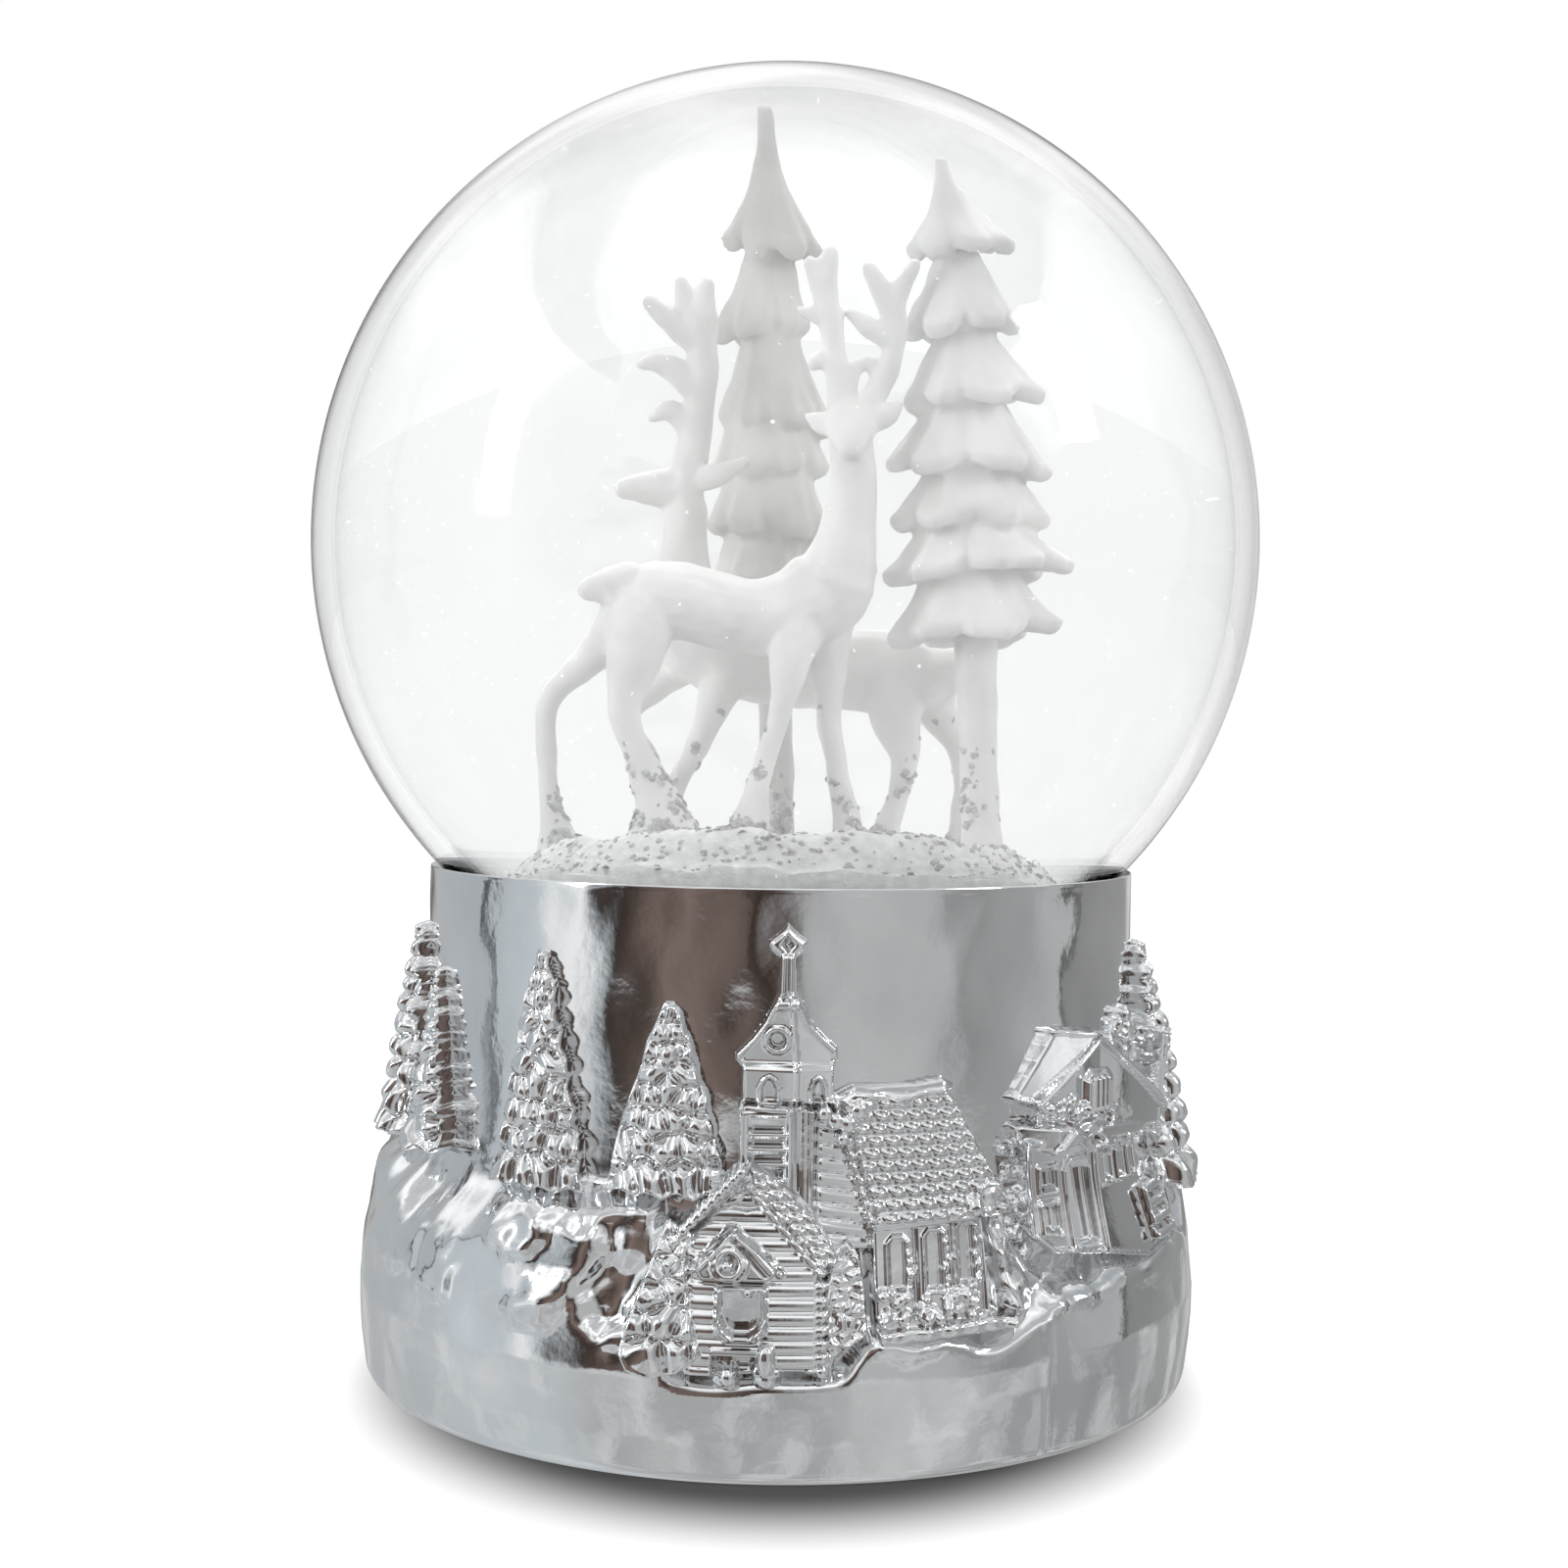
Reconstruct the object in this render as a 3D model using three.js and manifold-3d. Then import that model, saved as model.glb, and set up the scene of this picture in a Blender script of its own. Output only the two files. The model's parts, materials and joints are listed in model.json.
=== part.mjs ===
// A musical snow globe: a water-filled glass globe with two stags and two fir trees, standing on a
// hollow cast base with a village in relief. A wind-up musical movement sits inside the base.
// Units are millimetres and +Z is up. The origin is the centre of the ring that the base stands on,
// and the front of the village faces -Y.

import * as THREE from 'three';
import { mergeVertices } from 'three/addons/utils/BufferGeometryUtils.js';
import Module from 'manifold-3d';

const wasm = await Module();
wasm.setup();

// ---------------------------------------------------------------- driving dimensions

const GAP = 0.35; // left between neighbouring pieces
const ROUND = 28; // sides of a large round piece
const SMALL_ROUND = 8; // sides of a shaft or a screw
const ARC_STEPS = 6; // steps of a quarter circle of the globe

const GLOBE_RADIUS = 50;
const GLASS_WALL = 2;
const GLOBE_Z = 86; // height of the globe's centre
const NECK_RADIUS = 30; // outside of the globe's open neck
const NECK_BOTTOM = 40;

const RIM_Z = 52; // top edge of the base
const RIM_RADIUS = 37.8;
const COLLAR_RADIUS = 37.3; // the plain upper part of the base
const BANK_RADIUS = 44.7; // the snow bank around its foot
const FOOT_RADIUS = 43.9;
const DECK_TOP = 36;
const DECK_UNDERSIDE = 33;
const UPPER_HOLLOW_RADIUS = 33.6;
const LOWER_HOLLOW_RADIUS = 38.3;

const COVER_BOTTOM = 9.8;
const COVER_TOP = 11.8;
const COVER_RADIUS = 40;
const BEDPLATE_BOTTOM = COVER_TOP + GAP;
const BEDPLATE_TOP = BEDPLATE_BOTTOM + 2;

const GROUND_Z = 60.5; // top of the snow that the stags stand on
const MOUND_RADIUS = 25.5;

const AXIS_Z = 22; // height of the two horizontal shafts of the movement
const KEY_X = -12; // the winding arbor stands at (KEY_X, 0)
const ARBOR_RADIUS = 1.6;

const CROWN_TEETH = 30;
const CROWN_PINION_TEETH = 12;
const CROWN_MODULE = 0.8;
const CYLINDER_TEETH = 20;
const WHEEL_PINION_TEETH = 10;
const WORM_WHEEL_TEETH = 16;
const FINE_MODULE = 0.6;
const WORM_STARTS = 2;
const WORM_PITCH_RADIUS = 2;

const NOTES = 18;
const NOTE_PITCH = 0.86;
const DRUM_RADIUS = 6;
const DRUM_START = 3; // x of the drum's end beside the winding arbor
const DRUM_LENGTH = NOTES * NOTE_PITCH + 0.6;
const PIN_HEIGHT = 0.5;

// Stations along the movement's horizontal shafts, from the drum outwards
const DRUM_END = DRUM_START + DRUM_LENGTH;
const CYLINDER_GEAR_X = DRUM_END + 0.5;
const FINE_GEAR_WIDTH = 1.6;
const WORM_WHEEL_X = CYLINDER_GEAR_X + FINE_GEAR_WIDTH + 1.2;
const WORM_WHEEL_WIDTH = 1.4;
const OUTER_BEARING_X = WORM_WHEEL_X + WORM_WHEEL_WIDTH + 0.8;
const INNER_BEARING_X = 1.5;
const MIDDLE_BEARING_X = 12.5;
const BEARING_WIDTH = 1.1;

const pitchRadius = (teeth, module) => (teeth * module) / 2;
const CROWN_RADIUS = pitchRadius(CROWN_TEETH, CROWN_MODULE);
const WHEEL_Y = pitchRadius(CYLINDER_TEETH + WHEEL_PINION_TEETH, FINE_MODULE);
const GOVERNOR_Y = WHEEL_Y + pitchRadius(WORM_WHEEL_TEETH, FINE_MODULE) + WORM_PITCH_RADIUS;
const GOVERNOR_X = WORM_WHEEL_X + WORM_WHEEL_WIDTH / 2;

// ---------------------------------------------------------------- materials

const paint = (color, roughness, metalness) =>
  new THREE.MeshStandardMaterial({ color, roughness, metalness });
const CHROMED = paint(0xb9bcc0, 0.15, 1);
const WHITE_RESIN = paint(0xf1f0ee, 0.6, 0);
const RUBBER = paint(0xdcd8d0, 0.8, 0);
const BLACK_PLASTIC = paint(0x1c1c1e, 0.5, 0);
const WHITE_PLASTIC = paint(0xe8e6e0, 0.4, 0);
const STEEL = paint(0x9a9da1, 0.35, 1);
const SPRING_STEEL = paint(0x5d6470, 0.3, 1);
const BRASS = paint(0xc9a24a, 0.3, 1);
const ZINC = paint(0x8f9396, 0.45, 1);
const GLASS = new THREE.MeshStandardMaterial({
  color: 0xf6fafb, roughness: 0.02, metalness: 0, transparent: true, opacity: 0.2,
});
const WATER = new THREE.MeshStandardMaterial({
  color: 0xf0f8fb, roughness: 0.02, metalness: 0, transparent: true, opacity: 0.1,
});

// ---------------------------------------------------------------- solids

const WELD = 1e-4; // distance within which two corners are one
const UP = new THREE.Vector3(0, 0, 1);
const DEPTH = new THREE.Vector3(0, 1, 0);
const QUARTER_TURN = Math.PI / 2;
const FULL_TURN = 2 * Math.PI;

function solid(geometry) {
  geometry.deleteAttribute('normal');
  geometry.deleteAttribute('uv');
  const welded = mergeVertices(geometry, WELD);
  const corners = [];
  for (let i = 0; i < welded.index.count; i += 3) {
    const [a, b, c] = [0, 1, 2].map((k) => welded.index.getX(i + k));
    if (a !== b && b !== c && c !== a) corners.push(a, b, c);
  }
  const mesh = new wasm.Mesh({
    numProp: 3,
    vertProperties: new Float32Array(welded.attributes.position.array),
    triVerts: new Uint32Array(corners),
  });
  return new wasm.Manifold(mesh);
}

function geometryOf(body) {
  const mesh = body.getMesh();
  const geometry = new THREE.BufferGeometry();
  geometry.setAttribute('position', new THREE.BufferAttribute(mesh.vertProperties, 3));
  geometry.setIndex(new THREE.BufferAttribute(mesh.triVerts, 1));
  geometry.computeVertexNormals();
  return geometry;
}

const unite = (bodies) => bodies.reduce((sum, body) => sum.add(body));
const cut = (body, tools) => tools.reduce((rest, tool) => rest.subtract(tool), body);

// A profile is a list of [radius, height] that goes out along the bottom, up the outside and in again.
function lathe(profile, sides = ROUND, x = 0, y = 0) {
  const points = profile.map(([radius, height]) => new THREE.Vector2(radius, height));
  return solid(new THREE.LatheGeometry(points, sides).rotateX(QUARTER_TURN).translate(x, y, 0));
}

function disc(radius, bottom, top, x = 0, y = 0, sides = SMALL_ROUND) {
  return lathe([[0, bottom], [radius, bottom], [radius, top], [0, top]], sides, x, y);
}

function block(low, high) {
  const size = high.map((value, i) => value - low[i]);
  const centre = high.map((value, i) => (value + low[i]) / 2);
  return solid(new THREE.BoxGeometry(...size).translate(...centre));
}

// A round bar along X
function bar(radius, start, end, y, z, sides = SMALL_ROUND) {
  const profile = [[0, start], [radius, start], [radius, end], [0, end]];
  const points = profile.map(([r, height]) => new THREE.Vector2(r, height));
  const geometry = new THREE.LatheGeometry(points, sides).rotateZ(-QUARTER_TURN);
  return solid(geometry.translate(0, y, z));
}

function prism(outline, bottom, top, steps = 1) {
  const shape = new THREE.Shape(outline.map(([x, y]) => new THREE.Vector2(x, y)));
  const depth = top - bottom;
  return new THREE.ExtrudeGeometry(shape, { depth, steps, bevelEnabled: false }).translate(0, 0, bottom);
}

// Turns each layer of a shape that stands on +Z by an angle in step with its height
function twist(geometry, radiansPerMm, middle) {
  const positions = geometry.attributes.position;
  const point = new THREE.Vector3();
  for (let i = 0; i < positions.count; i += 1) {
    point.fromBufferAttribute(positions, i);
    point.applyAxisAngle(UP, radiansPerMm * (point.z - middle));
    positions.setXYZ(i, point.x, point.y, point.z);
  }
  return geometry;
}

// ---------------------------------------------------------------- limbs and trees

// A limb through [x, z, radius] stations at the depth y, ending lean further back. It is a lathe whose
// heights count the stations, bent onto a smooth curve through them.
function limb(stations, y, { lean = 0, thick = 1, sides = 5 } = {}) {
  const last = stations.length - 1;
  const centres = stations.map(([x, z], i) => new THREE.Vector3(x, y + (lean * i) / last, z));
  const curve = new THREE.CatmullRomCurve3(centres);
  const profile = stations.map(([, , radius], i) => new THREE.Vector2(radius, i));
  const closed = [new THREE.Vector2(0, 0), ...profile, new THREE.Vector2(0, last)];
  const geometry = new THREE.LatheGeometry(closed, sides);
  const positions = geometry.attributes.position;
  const point = new THREE.Vector3();
  for (let i = 0; i < positions.count; i += 1) {
    const station = Math.round(positions.getY(i));
    const [u, v] = [positions.getX(i), positions.getZ(i)];
    const tangent = curve.getTangent(station / last);
    const across = new THREE.Vector3().crossVectors(DEPTH, tangent).normalize();
    const side = new THREE.Vector3().crossVectors(across, tangent);
    point.copy(across).multiplyScalar(u).addScaledVector(side, v * thick);
    if (Math.hypot(u, v) < WELD) {
      const dome = stations[station][2] * 0.4;
      point.addScaledVector(tangent, station === 0 ? -dome : dome);
    }
    point.add(curve.getPoint(station / last));
    positions.setXYZ(i, point.x, point.y, point.z);
  }
  return solid(geometry);
}

const FRONT_STAG_Y = -4.2;
const REAR_STAG_Y = 5.4;
const HOOF_Z = GROUND_Z - 1; // hooves stand this low, in sockets in the snow
const BODY = { thick: 0.78, sides: 8 };
const NECK = { lean: -0.6 };

// Each leg is [distance behind the stag's middle plane, stations], from the trunk down to the hoof.
const FRONT_LEGS = [
  [1.4, [[-12.8, 80.6, 2.2], [-15.2, 76.8, 1.2], [-19, 73.6, 0.9], [-19.2, 68.6, 0.8],
    [-18.6, HOOF_Z, 1.2]]],
  [-1.5, [[-11.6, 79.8, 2.5], [-12.4, 75.6, 1.8], [-12.9, 72, 1.1], [-11.4, 67.6, 1.2],
    [-9.8, HOOF_Z, 1.6]]],
  [-1.6, [[0.8, 79.8, 2.3], [0.2, 73.6, 1], [-0.9, 69.9, 0.9], [-1.8, 65.6, 1], [-2.4, HOOF_Z, 1.3]]],
  [1.5, [[3.6, 80, 2.1], [3.7, 73.4, 1], [4.3, 69.4, 0.9], [5.1, 65.4, 0.9], [5.6, HOOF_Z, 1.2]]],
];
const REAR_LEGS = [
  [1.4, [[11.8, 75.4, 2.3], [12.8, 72.6, 1.1], [14.4, 70.4, 0.9], [14.2, 66.4, 0.8], [13.9, HOOF_Z, 1.1]]],
  [-1.5, [[9.2, 75.2, 2.4], [9.5, 71.2, 1.4], [9.9, 68.2, 0.9], [8.8, 65.2, 0.8], [7.9, HOOF_Z, 1.1]]],
  [-1.4, [[-5.6, 77, 2.1], [-6.6, 71.4, 1], [-8.6, 67.4, 0.9], [-8.9, 64, 0.8], [-8.7, HOOF_Z, 1.1]]],
];

const legs = (list, y) => list.map(([behind, stations]) => limb(stations, y + behind));

// The front stag walks to the right and turns its head to the front.
function frontStag() {
  const y = FRONT_STAG_Y;
  return unite([
    limb([
      [-12.6, 81.4, 2.6], [-9.2, 81.2, 3.4], [-3, 80.2, 3.2], [2.4, 81.6, 3.8], [4.2, 83.6, 3],
    ], y, BODY),
    limb([[-16.6, 82.2, 0.6], [-12.6, 82.6, 1.7]], y),
    limb([[4, 82.4, 3.2], [5.2, 87.6, 2.3], [5.5, 92.6, 1.9], [5.2, 95.6, 1.6]], y, NECK),
    limb([[5.1, 92.9, 1.1], [5.15, 94.8, 1.7], [5.2, 96.6, 1.4]], y - 2, { lean: 0.9, sides: 6 }),
    limb([[6, 95.6, 0.7], [8.9, 97.3, 0.35]], y - 0.9),
    limb([[4.4, 95.7, 0.7], [2.2, 96.6, 0.35]], y - 0.9),
    limb([[4.6, 95.8, 0.8], [4, 101, 0.7], [3.3, 105, 0.7], [3, 109, 0.6]], y),
    limb([[3.4, 104.6, 0.5], [0.9, 104.9, 0.4]], y),
    limb([[3.8, 101.6, 0.5], [2, 100.9, 0.4]], y),
    limb([[3.1, 106.6, 0.5], [1.6, 108.3, 0.4]], y),
    limb([[5.7, 95.8, 0.8], [7.8, 100.2, 0.7], [8.5, 103, 0.7], [8.3, 105.6, 0.6], [9, 108.6, 0.5]], y),
    limb([[8.3, 105.6, 0.5], [6.4, 108.2, 0.4]], y),
    limb([[8, 103.2, 0.5], [5.2, 104.8, 0.4]], y),
    ...legs(FRONT_LEGS, y),
  ]);
}

// The rear stag stands behind it, faces left and lifts one foreleg.
function rearStag() {
  const y = REAR_STAG_Y;
  return unite([
    limb([[12, 76.4, 2.7], [7.5, 76.9, 3.4], [0, 77, 3.2], [-5.4, 78.2, 3.4], [-8, 80, 2.8]], y, BODY),
    limb([[-7.4, 79.2, 2.9], [-8.2, 85, 2], [-8, 89.4, 1.7], [-8.4, 91.6, 1.5]], y, NECK),
    limb([[-8, 91.4, 1.4], [-10.8, 91.5, 1.2], [-13, 91.2, 0.8]], y - 0.4),
    limb([[-8, 91.6, 0.7], [-4, 93.4, 0.35]], y - 0.6),
    limb([[-8.2, 91.8, 0.8], [-6.9, 97.4, 0.75], [-6.5, 102, 0.7], [-7.4, 106.6, 0.6]], y),
    limb([[-6.6, 102.4, 0.55], [-9, 103.8, 0.5], [-10.9, 105.6, 0.4]], y),
    limb([[-6.7, 99.4, 0.5], [-9.4, 100.2, 0.45], [-11.2, 101.4, 0.35]], y),
    limb([[-7.2, 95.4, 0.5], [-8.8, 97, 0.45], [-10.4, 97.2, 0.35]], y),
    limb([[-6.6, 78, 2.1], [-10, 75.8, 1.1], [-12.2, 73.6, 0.8], [-10.6, 71, 0.7]], y + 1.5),
    ...legs(REAR_LEGS, y),
  ]);
}

const FLATNESS = 0.6; // depth of a tree over its width
const TREE_FOOT = GROUND_Z - 1.2;
const TREE_SIDES = 9;
const TIER_OVERLAP = 1.2; // how far a tier reaches up into the one above it
const DROOP = 0.16; // how far a tier's hem hangs, over its radius

// A tree's tiers are [height of the skirt, radius, shift along X], from the top down.
const TALL_TREE = {
  x: -1.4, y: 12.6, trunk: 1.5, tip: 121,
  tiers: [[111, 4, 0.1], [105.4, 4.1, -0.1], [98, 5, 0.3], [93.6, 5.3, 0], [88.4, 5.6, -0.3], [84, 4.8, 0]],
};
const RIGHT_TREE = {
  x: 15.2, y: -2.2, trunk: 1.7, tip: 116,
  tiers: [
    [109.4, 4, 0.2], [102.8, 4.6, 0.2], [97.2, 5.6, 0.6], [92, 6.2, 0], [87.4, 6.3, 0], [82.6, 7, 0.5],
    [78.4, 6.8, 0.2],
  ],
};

function flattened(profile, x, y) {
  const points = profile.map(([radius, z]) => new THREE.Vector2(radius, z));
  const geometry = new THREE.LatheGeometry(points, TREE_SIDES).rotateX(QUARTER_TURN);
  return solid(geometry.scale(1, FLATNESS, 1).translate(x, y, 0));
}

// A fir made of drooping tiers, flattened front to back
function fir({ x, y, trunk, tip, tiers }) {
  const bodies = [disc(trunk, TREE_FOOT, tiers.at(-1)[0] + 3, x, y, 8)];
  tiers.forEach(([skirt, radius, shift], i) => {
    const above = i === 0 ? tip : tiers[i - 1][0] + TIER_OVERLAP;
    const waist = i === 0 ? 0.35 : tiers[i - 1][1] * 0.45;
    const droop = radius * DROOP;
    bodies.push(flattened([
      [0, skirt + droop], [radius * 0.5, skirt + droop], [radius, skirt], [radius, skirt + droop * 0.8],
      [radius * 0.55, skirt + (above - skirt) * 0.35], [waist, above], [0, above],
    ], x + shift, y));
  });
  return unite(bodies);
}

// The plain room that the water leaves for a tree: its trunk, and one cone over all of its tiers
function roomForFir({ x, y, trunk, tip, tiers }) {
  const margin = 1.3;
  const [topSkirt, topRadius] = tiers[0];
  const widest = Math.max(...tiers.map(([, radius, shift]) => radius + Math.abs(shift))) + margin;
  const lowest = tiers.at(-1)[0] - GAP;
  const cone = flattened([
    [0, lowest], [widest, lowest], [widest, lowest + 8], [topRadius + margin, topSkirt + 1],
    [margin, tip + margin], [0, tip + margin],
  ], x, y);
  return disc(trunk + 2 * GAP, GROUND_Z - 2, lowest + 1, x, y, 8).add(cone);
}

// An outline in the XZ plane that reaches from front to back
function slab(outline, front, back) {
  return solid(prism(outline, -back, -front).rotateX(QUARTER_TURN));
}

// The plain room that the water leaves for each stag
function roomsForStags() {
  const floor = GROUND_Z - 2;
  const front = [
    [-22, floor], [9, floor], [9, 83], [10.6, 95], [10.6, 110.2], [-0.6, 110.2], [-0.6, 89], [-12, 86.6],
    [-18.6, 84.6], [-22, 76],
  ];
  const rear = [
    [-14.6, floor], [16.4, floor], [16.4, 80.4], [-3, 83], [-3, 95], [-4.6, 108], [-12.6, 108],
    [-14.8, 92], [-14.6, 88],
  ];
  return [
    slab(front, FRONT_STAG_Y - 4.4, FRONT_STAG_Y + 4),
    slab(rear, REAR_STAG_Y - 4.2, REAR_STAG_Y + 4.2),
  ];
}

// ---------------------------------------------------------------- globe

// The points of a vertical arc of the globe, from one angle above the horizon to another
function arc(radius, from, to, steps = ARC_STEPS) {
  return Array.from({ length: steps + 1 }, (_, i) => {
    const angle = from + ((to - from) * i) / steps;
    return [radius * Math.cos(angle), GLOBE_Z + radius * Math.sin(angle)];
  });
}

// The angle at which a sphere around the globe's centre has narrowed to a given radius, below its equator
const narrowsTo = (radius, at) => -Math.acos(at / radius);

// A sphere's profile from its narrowed foot up to its top, on the axis
function ballProfile(radius, foot) {
  const lower = arc(radius, narrowsTo(radius, foot), 0);
  const upper = arc(radius, 0, QUARTER_TURN).slice(1, -1);
  return [...lower, ...upper, [0, GLOBE_Z + radius]];
}

function glassGlobe() {
  const inner = GLOBE_RADIUS - GLASS_WALL;
  const neckInner = NECK_RADIUS - GLASS_WALL;
  const outside = ballProfile(GLOBE_RADIUS, NECK_RADIUS);
  const inside = ballProfile(inner, neckInner).reverse();
  return lathe([...inside, [neckInner, NECK_BOTTOM], [NECK_RADIUS, NECK_BOTTOM], ...outside]);
}

const STOPPER_TOP = 46.3;
const STOPPER_FLANGE_TOP = NECK_BOTTOM - GAP;

function neckStopper() {
  const plug = NECK_RADIUS - GLASS_WALL - GAP;
  const flange = NECK_RADIUS + 0.4;
  return lathe([
    [0, DECK_TOP + GAP], [flange, DECK_TOP + GAP], [flange, STOPPER_FLANGE_TOP], [plug, STOPPER_FLANGE_TOP],
    [plug, STOPPER_TOP - 1], [plug - 1, STOPPER_TOP], [0, STOPPER_TOP],
  ]);
}

// The snow that fills the foot of the globe. The margin is for the room that the water leaves for it.
function snowHeap(bottom, margin) {
  const edge = MOUND_RADIUS + margin;
  return lathe([
    [0, bottom], [edge, bottom], [edge, GROUND_Z - 5], [edge - 1.2, GROUND_Z - 2 + margin],
    [edge - 4, GROUND_Z - 0.3 + margin], [0, GROUND_Z + 0.7 + margin],
  ], 20);
}

// The heap has a socket for each hoof and trunk
function snowMound() {
  const top = GROUND_Z + 2;
  const hooves = [[FRONT_STAG_Y, FRONT_LEGS], [REAR_STAG_Y, REAR_LEGS]].flatMap(([y, list]) =>
    list.map(([behind, stations]) => {
      const [x, z, radius] = stations.at(-1);
      return disc(radius + 0.8, z - radius * 0.4 - GAP, top, x, y + behind);
    }));
  const trunks = [TALL_TREE, RIGHT_TREE].map(({ x, y, trunk }) =>
    disc(trunk + GAP, TREE_FOOT - GAP, top, x, y));
  return cut(snowHeap(STOPPER_TOP + GAP, 0), [...hooves, ...trunks]);
}

function waterFill() {
  const radius = GLOBE_RADIUS - GLASS_WALL - 0.4;
  const bottom = STOPPER_TOP + GAP;
  const opening = Math.sqrt(radius ** 2 - (GLOBE_Z - bottom) ** 2);
  const firs = [TALL_TREE, RIGHT_TREE].map(roomForFir);
  const rooms = [snowHeap(bottom - 1, GAP), ...firs, ...roomsForStags()];
  return cut(lathe([[0, bottom], ...ballProfile(radius, opening)]), rooms);
}

// ---------------------------------------------------------------- cast base

// Angles around the base are counted in degrees from the front, towards +X.
function around(body, degrees) {
  return body.rotate([0, 0, degrees]);
}

const FACE = -39; // y of the middle of a relief motif before it is turned into place

function reliefTree(degrees, foot, tip, width) {
  const tiers = 3;
  const rise = (tip - foot) / (tiers + 0.8);
  const bodies = [];
  for (let i = 0; i < tiers; i += 1) {
    const skirt = foot + i * rise;
    const radius = (width / 2) * (1 - i / (tiers + 0.6));
    bodies.push(lathe([
      [0, skirt], [radius * 0.6, skirt], [radius, skirt + 0.8], [radius * 0.35, skirt + rise * 1.8],
      [0, skirt + rise * 1.8],
    ], 6, 0, FACE));
  }
  return around(unite(bodies), degrees);
}

// A building with its ridge across the view, or with a gable to the front
function reliefHouse({ degrees, width, foot, eaves, ridge, front, gable }) {
  const half = width / 2;
  const depth = 7;
  const walls = block([-half, front, foot], [half, front + depth, eaves + 0.4]);
  const overhang = 0.9;
  const outline = [[-half - overhang, eaves], [half + overhang, eaves], [0, ridge]];
  let roof = solid(prism(outline, 0, depth + overhang).rotateX(QUARTER_TURN));
  roof = roof.translate([0, front + depth, 0]);
  if (!gable) {
    const back = front + depth;
    const slope = [[front - overhang, eaves], [back, eaves], [back, ridge], [front + 4, ridge]];
    const along = prism(slope, -half - overhang, half + overhang);
    roof = solid(along.rotateX(QUARTER_TURN).rotateZ(QUARTER_TURN));
  }
  return around(unite([walls, roof]), degrees);
}

function churchTower(degrees) {
  const half = 4.3;
  const shaft = block([-half, FACE - 3.4, 20], [half, FACE + 4, 34]);
  const roof = lathe([
    [0, 33.6], [6.6, 33.6], [6.6, 34.2], [3.2, 36.6], [1.9, 39], [0.9, 42.4], [0, 42.4],
  ], 8, 0, FACE + 0.4);
  const finial = block([-0.7, FACE - 0.6, 42], [0.7, FACE + 2.4, 48.6]);
  const cross = block([-1.7, FACE - 0.6, 46.2], [1.7, FACE + 2.4, 47.4]);
  return around(unite([shaft, roof, finial, cross]), degrees);
}

function villageRelief() {
  const trees = [
    [-66, 26, 48, 7], [-55, 24, 43, 6.5], [-34, 24, 46, 8.5], [-15, 24, 41.6, 8.5],
    [66, 26, 46, 6], [77, 22, 43, 7], [-9, 9.5, 21, 6], [104, 24, 44, 8],
    [152, 24, 42, 8], [170, 24, 47, 8.5], [-116, 24, 45, 8], [-92, 22, 40, 7.5],
  ];
  return unite([
    ...trees.map(([degrees, foot, tip, width]) => reliefTree(degrees, foot, tip, width)),
    churchTower(2),
    reliefHouse({
      degrees: 17, width: 12.5, foot: 12, eaves: 21.5, ridge: 33.5, front: -43.8, gable: false,
    }),
    reliefHouse({ degrees: -3, width: 9.5, foot: 8, eaves: 20, ridge: 27, front: -44.2, gable: true }),
    reliefHouse({ degrees: 56, width: 12, foot: 17, eaves: 30, ridge: 38, front: -42.5, gable: true }),
    reliefHouse({ degrees: 132, width: 11, foot: 18, eaves: 27, ridge: 34, front: -43, gable: true }),
    reliefHouse({ degrees: -142, width: 13, foot: 16, eaves: 26, ridge: 34, front: -43, gable: false }),
  ]);
}

const COVER_SCREW_RADIUS = 35.4; // of the circle that the cover's three screws stand on
const COVER_SCREW_ANGLES = [90, 210, 330];
const COVER_SCREW_TOP = 18.6;
const BOSS_RADIUS = 3.3;
const BOSS_TOP = 22;
const PILOT_RADIUS = 1.55; // of the hole that a cover screw turns into

const onCircle = (radius, degrees) => {
  const angle = THREE.MathUtils.degToRad(degrees);
  return [radius * Math.cos(angle), radius * Math.sin(angle)];
};

function baseShell() {
  const outside = lathe([
    [0, 0], [FOOT_RADIUS, 0], [FOOT_RADIUS + 0.5, 4], [BANK_RADIUS, 9], [FOOT_RADIUS + 0.4, 15],
    [FOOT_RADIUS - 0.2, 19], [FOOT_RADIUS - 2.4, 22.6], [COLLAR_RADIUS, 25.4], [COLLAR_RADIUS, RIM_Z - 1.8],
    [RIM_RADIUS, RIM_Z - 1.2], [RIM_RADIUS, RIM_Z - 0.4], [RIM_RADIUS - 0.3, RIM_Z], [0, RIM_Z],
  ], 36);
  const wellRadius = NECK_RADIUS + 1.2;
  const seat = GLOBE_RADIUS + GAP;
  const seatArc = arc(seat, narrowsTo(seat, wellRadius), -0.6, 4);
  const well = lathe([[0, DECK_TOP], [wellRadius, DECK_TOP], ...seatArc, [0, seatArc.at(-1)[1]]]);
  const hollow = lathe([
    [0, -1], [COVER_RADIUS + GAP, -1], [COVER_RADIUS + GAP, BEDPLATE_BOTTOM],
    [LOWER_HOLLOW_RADIUS, BEDPLATE_BOTTOM], [LOWER_HOLLOW_RADIUS, 19], [UPPER_HOLLOW_RADIUS, 23.5],
    [UPPER_HOLLOW_RADIUS, DECK_UNDERSIDE], [0, DECK_UNDERSIDE],
  ]);
  const cast = cut(outside.add(villageRelief()), [well, hollow]);
  const bosses = COVER_SCREW_ANGLES.map((angle) =>
    disc(BOSS_RADIUS, BEDPLATE_BOTTOM, BOSS_TOP, ...onCircle(COVER_SCREW_RADIUS, angle)));
  const pilots = COVER_SCREW_ANGLES.map((angle) =>
    disc(PILOT_RADIUS, BEDPLATE_BOTTOM - 1, COVER_SCREW_TOP + 1, ...onCircle(COVER_SCREW_RADIUS, angle)));
  return cut(unite([cast, ...bosses]), pilots);
}

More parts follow.
